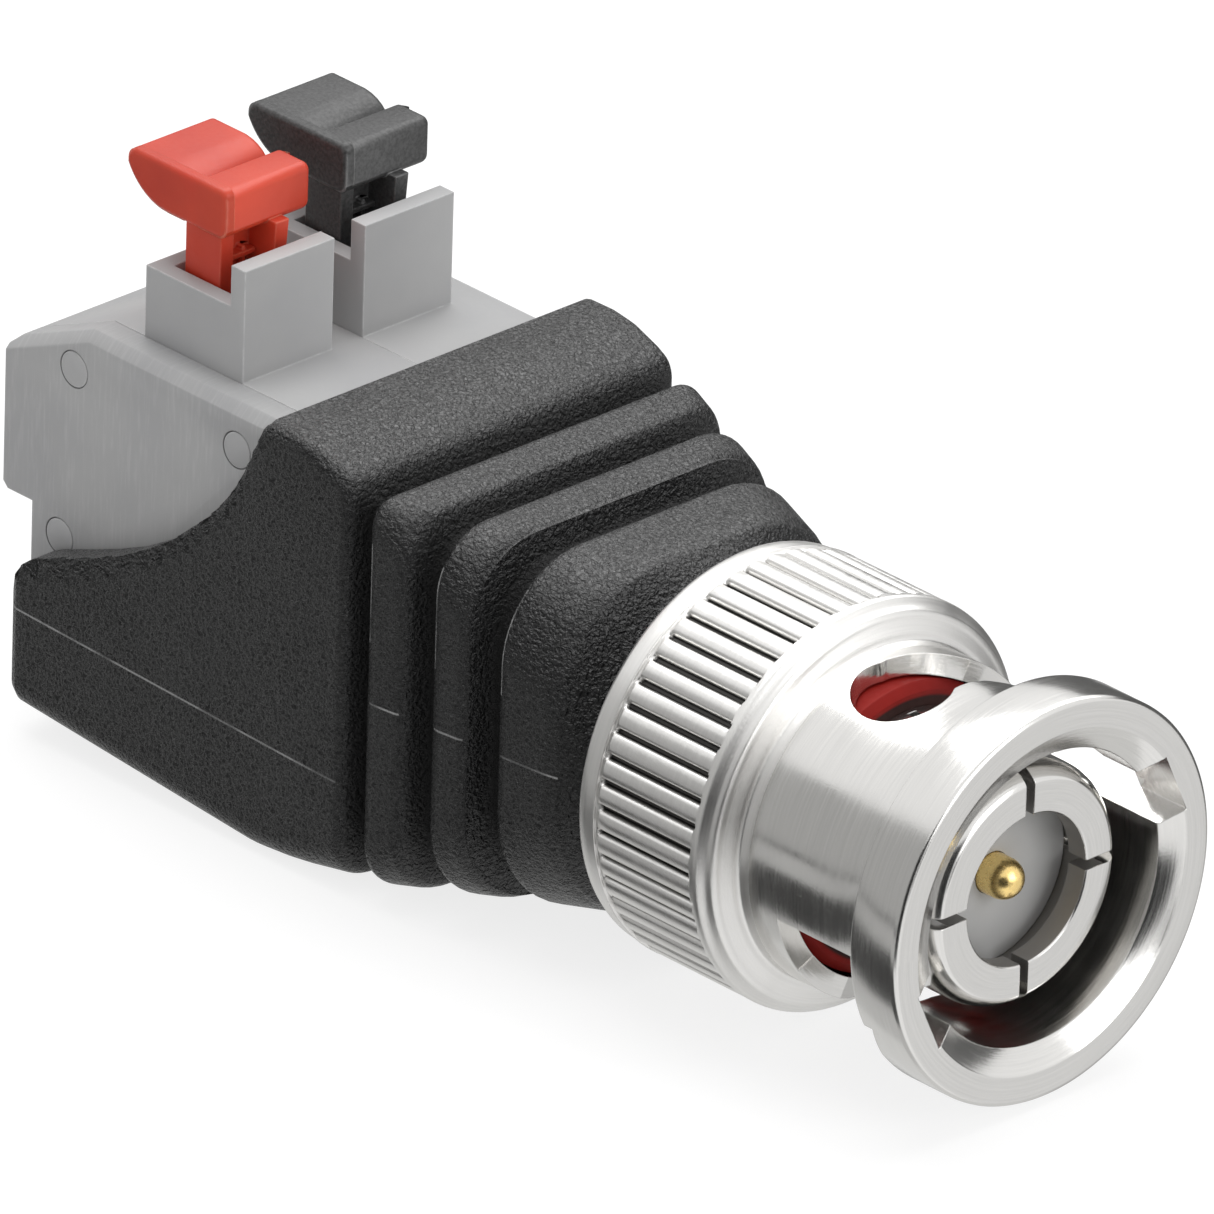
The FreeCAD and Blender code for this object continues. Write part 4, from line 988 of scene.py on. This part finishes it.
def floor_material():
    """White to the eye, with the object's soft and faint shadow kept."""
    n = Nodes("floor_white")
    diffuse = n.add("ShaderNodeBsdfDiffuse", Color=(0.72, 0.72, 0.72, 1))
    faint = n.add("ShaderNodeBsdfDiffuse", Color=(0.26, 0.26, 0.26, 1))
    glow = n.add("ShaderNodeEmission", Color=(1, 1, 1, 1), Strength=0.80)
    both = n.tree.nodes.new("ShaderNodeAddShader")
    n.tree.links.new(faint.outputs[0], both.inputs[0])
    n.tree.links.new(glow.outputs[0], both.inputs[1])
    path = n.tree.nodes.new("ShaderNodeLightPath")
    pick = n.tree.nodes.new("ShaderNodeMixShader")
    seen = n.math("MAXIMUM", path.outputs["Is Camera Ray"], path.outputs["Is Transmission Ray"])
    n.feed(pick.inputs[0], seen)
    n.tree.links.new(diffuse.outputs[0], pick.inputs[1])
    n.tree.links.new(both.outputs[0], pick.inputs[2])
    n.tree.links.new(pick.outputs[0], n.out.inputs["Surface"])
    return n.mat


floor = floor_plane(3.0, -6.97 * MM)
floor.visible_glossy = False


def unseen(obj):
    """Reflections alone see this object."""
    obj.visible_camera = False
    obj.visible_diffuse = False
    obj.visible_shadow = False
    obj.visible_transmission = False
    obj.visible_volume_scatter = False
    return obj


def glowing(name, color):
    """A material that only gives light."""
    n = Nodes(name)
    glow = n.add("ShaderNodeEmission", Color=rgba(color), Strength=1.0)
    n.tree.links.new(glow.outputs[0], n.out.inputs["Surface"])
    return n.mat


def card(name, level, start, end, radius=0.6, x0=-2.5, x1=0.25, steps=12):
    """A long strip round the plug's axis that only reflections see."""
    bm = bmesh.new()
    rows = []
    for x in (x0, x1):
        row = []
        for k in range(steps + 1):
            a = math.radians(start + (end - start) * k / steps)
            row.append(bm.verts.new(Vector((x, radius * math.cos(a), radius * math.sin(a)))))
        rows.append(row)
    for k in range(steps):
        bm.faces.new((rows[0][k], rows[0][k + 1], rows[1][k + 1], rows[1][k]))
    material = glowing(name, (level, level, level * 0.99))
    return unseen(from_bmesh(bm, name, material, False))


def patch(name, level, direction, half, away=0.8):
    """A square facing the object that only reflections see."""
    middle = Vector(direction).normalized() * away
    across = Vector((0, 0, 1)).cross(middle).normalized() * half
    high = middle.cross(across).normalized() * half
    corners = ((-1, -1), (1, -1), (1, 1), (-1, 1))
    bm = bmesh.new()
    bm.faces.new([bm.verts.new(middle + across * i + high * j) for i, j in corners])
    return unseen(from_bmesh(bm, name, glowing(name, (level, level, level)), False))


# Each card's brightness, and where it starts and ends round the axis in degrees
card("card_left", 0.42, 141, 189)
card("card_line", 0.08, 189, 192)
card("card_low_light", 0.48, 192, 208)
card("card_low_dark", 0.06, 206, 238)
card("card_far_dark", 0.12, -24, 20)
card("card_rim", 0.5, -50, -24)
card("card_under", 0.55, 238, 262)
card("card_under_far", 0.70, 262, 310)
# Each patch's brightness, its direction from the object and its half width
patch("patch_front", 0.03, (0.72, -0.68, 0.02), 0.42)
patch("patch_ahead", 0.06, (0.99, -0.02, -0.10), 0.10)
patch("patch_roof", 3.0, (-0.22, 0.66, 0.72), 0.25)
patch("patch_face", 0.78, (0.627, 0.63, -0.454), 0.36)


def studio_world(seen_level, mirrored_level, light_level):
    """White to the camera, one even level to reflections and another to what lights the object."""
    world = bpy.data.worlds.new("studio")
    bpy.context.scene.world = world
    world.use_nodes = True
    tree = world.node_tree
    tree.nodes.clear()
    path = tree.nodes.new("ShaderNodeLightPath")

    def background(level):
        node = tree.nodes.new("ShaderNodeBackground")
        node.inputs["Color"].default_value = (1, 1, 1, 1)
        node.inputs["Strength"].default_value = level
        return node.outputs[0]

    def choose(switch, off, on):
        node = tree.nodes.new("ShaderNodeMixShader")
        tree.links.new(switch, node.inputs[0])
        tree.links.new(off, node.inputs[1])
        tree.links.new(on, node.inputs[2])
        return node.outputs[0]

    seen = tree.nodes.new("ShaderNodeMath")
    seen.operation = "MAXIMUM"
    tree.links.new(path.outputs["Is Camera Ray"], seen.inputs[0])
    tree.links.new(path.outputs["Is Transmission Ray"], seen.inputs[1])
    shade = choose(path.outputs["Is Glossy Ray"], background(light_level), background(mirrored_level))
    shade = choose(seen.outputs[0], shade, background(seen_level))
    out = tree.nodes.new("ShaderNodeOutputWorld")
    tree.links.new(shade, out.inputs["Surface"])


studio_world(1.0, 0.96, 0.55)


def area(name, place, size, power):
    """A square lamp that shines on the part's origin."""
    data = bpy.data.lights.new(name, "AREA")
    data.shape = "RECTANGLE"
    data.size = size
    data.size_y = size
    data.energy = power
    obj = bpy.data.objects.new(name, data)
    bpy.context.scene.collection.objects.link(obj)
    obj.location = Vector(place)
    obj.rotation_mode = "QUATERNION"
    obj.rotation_quaternion = (-Vector(place)).to_track_quat("-Z", "Y")


area("overhead", (-0.25, 0.2, 1.0), 1.0, 8.5)
area("ahead", (1.2, 0.2, 0.5), 0.8, 4.5)
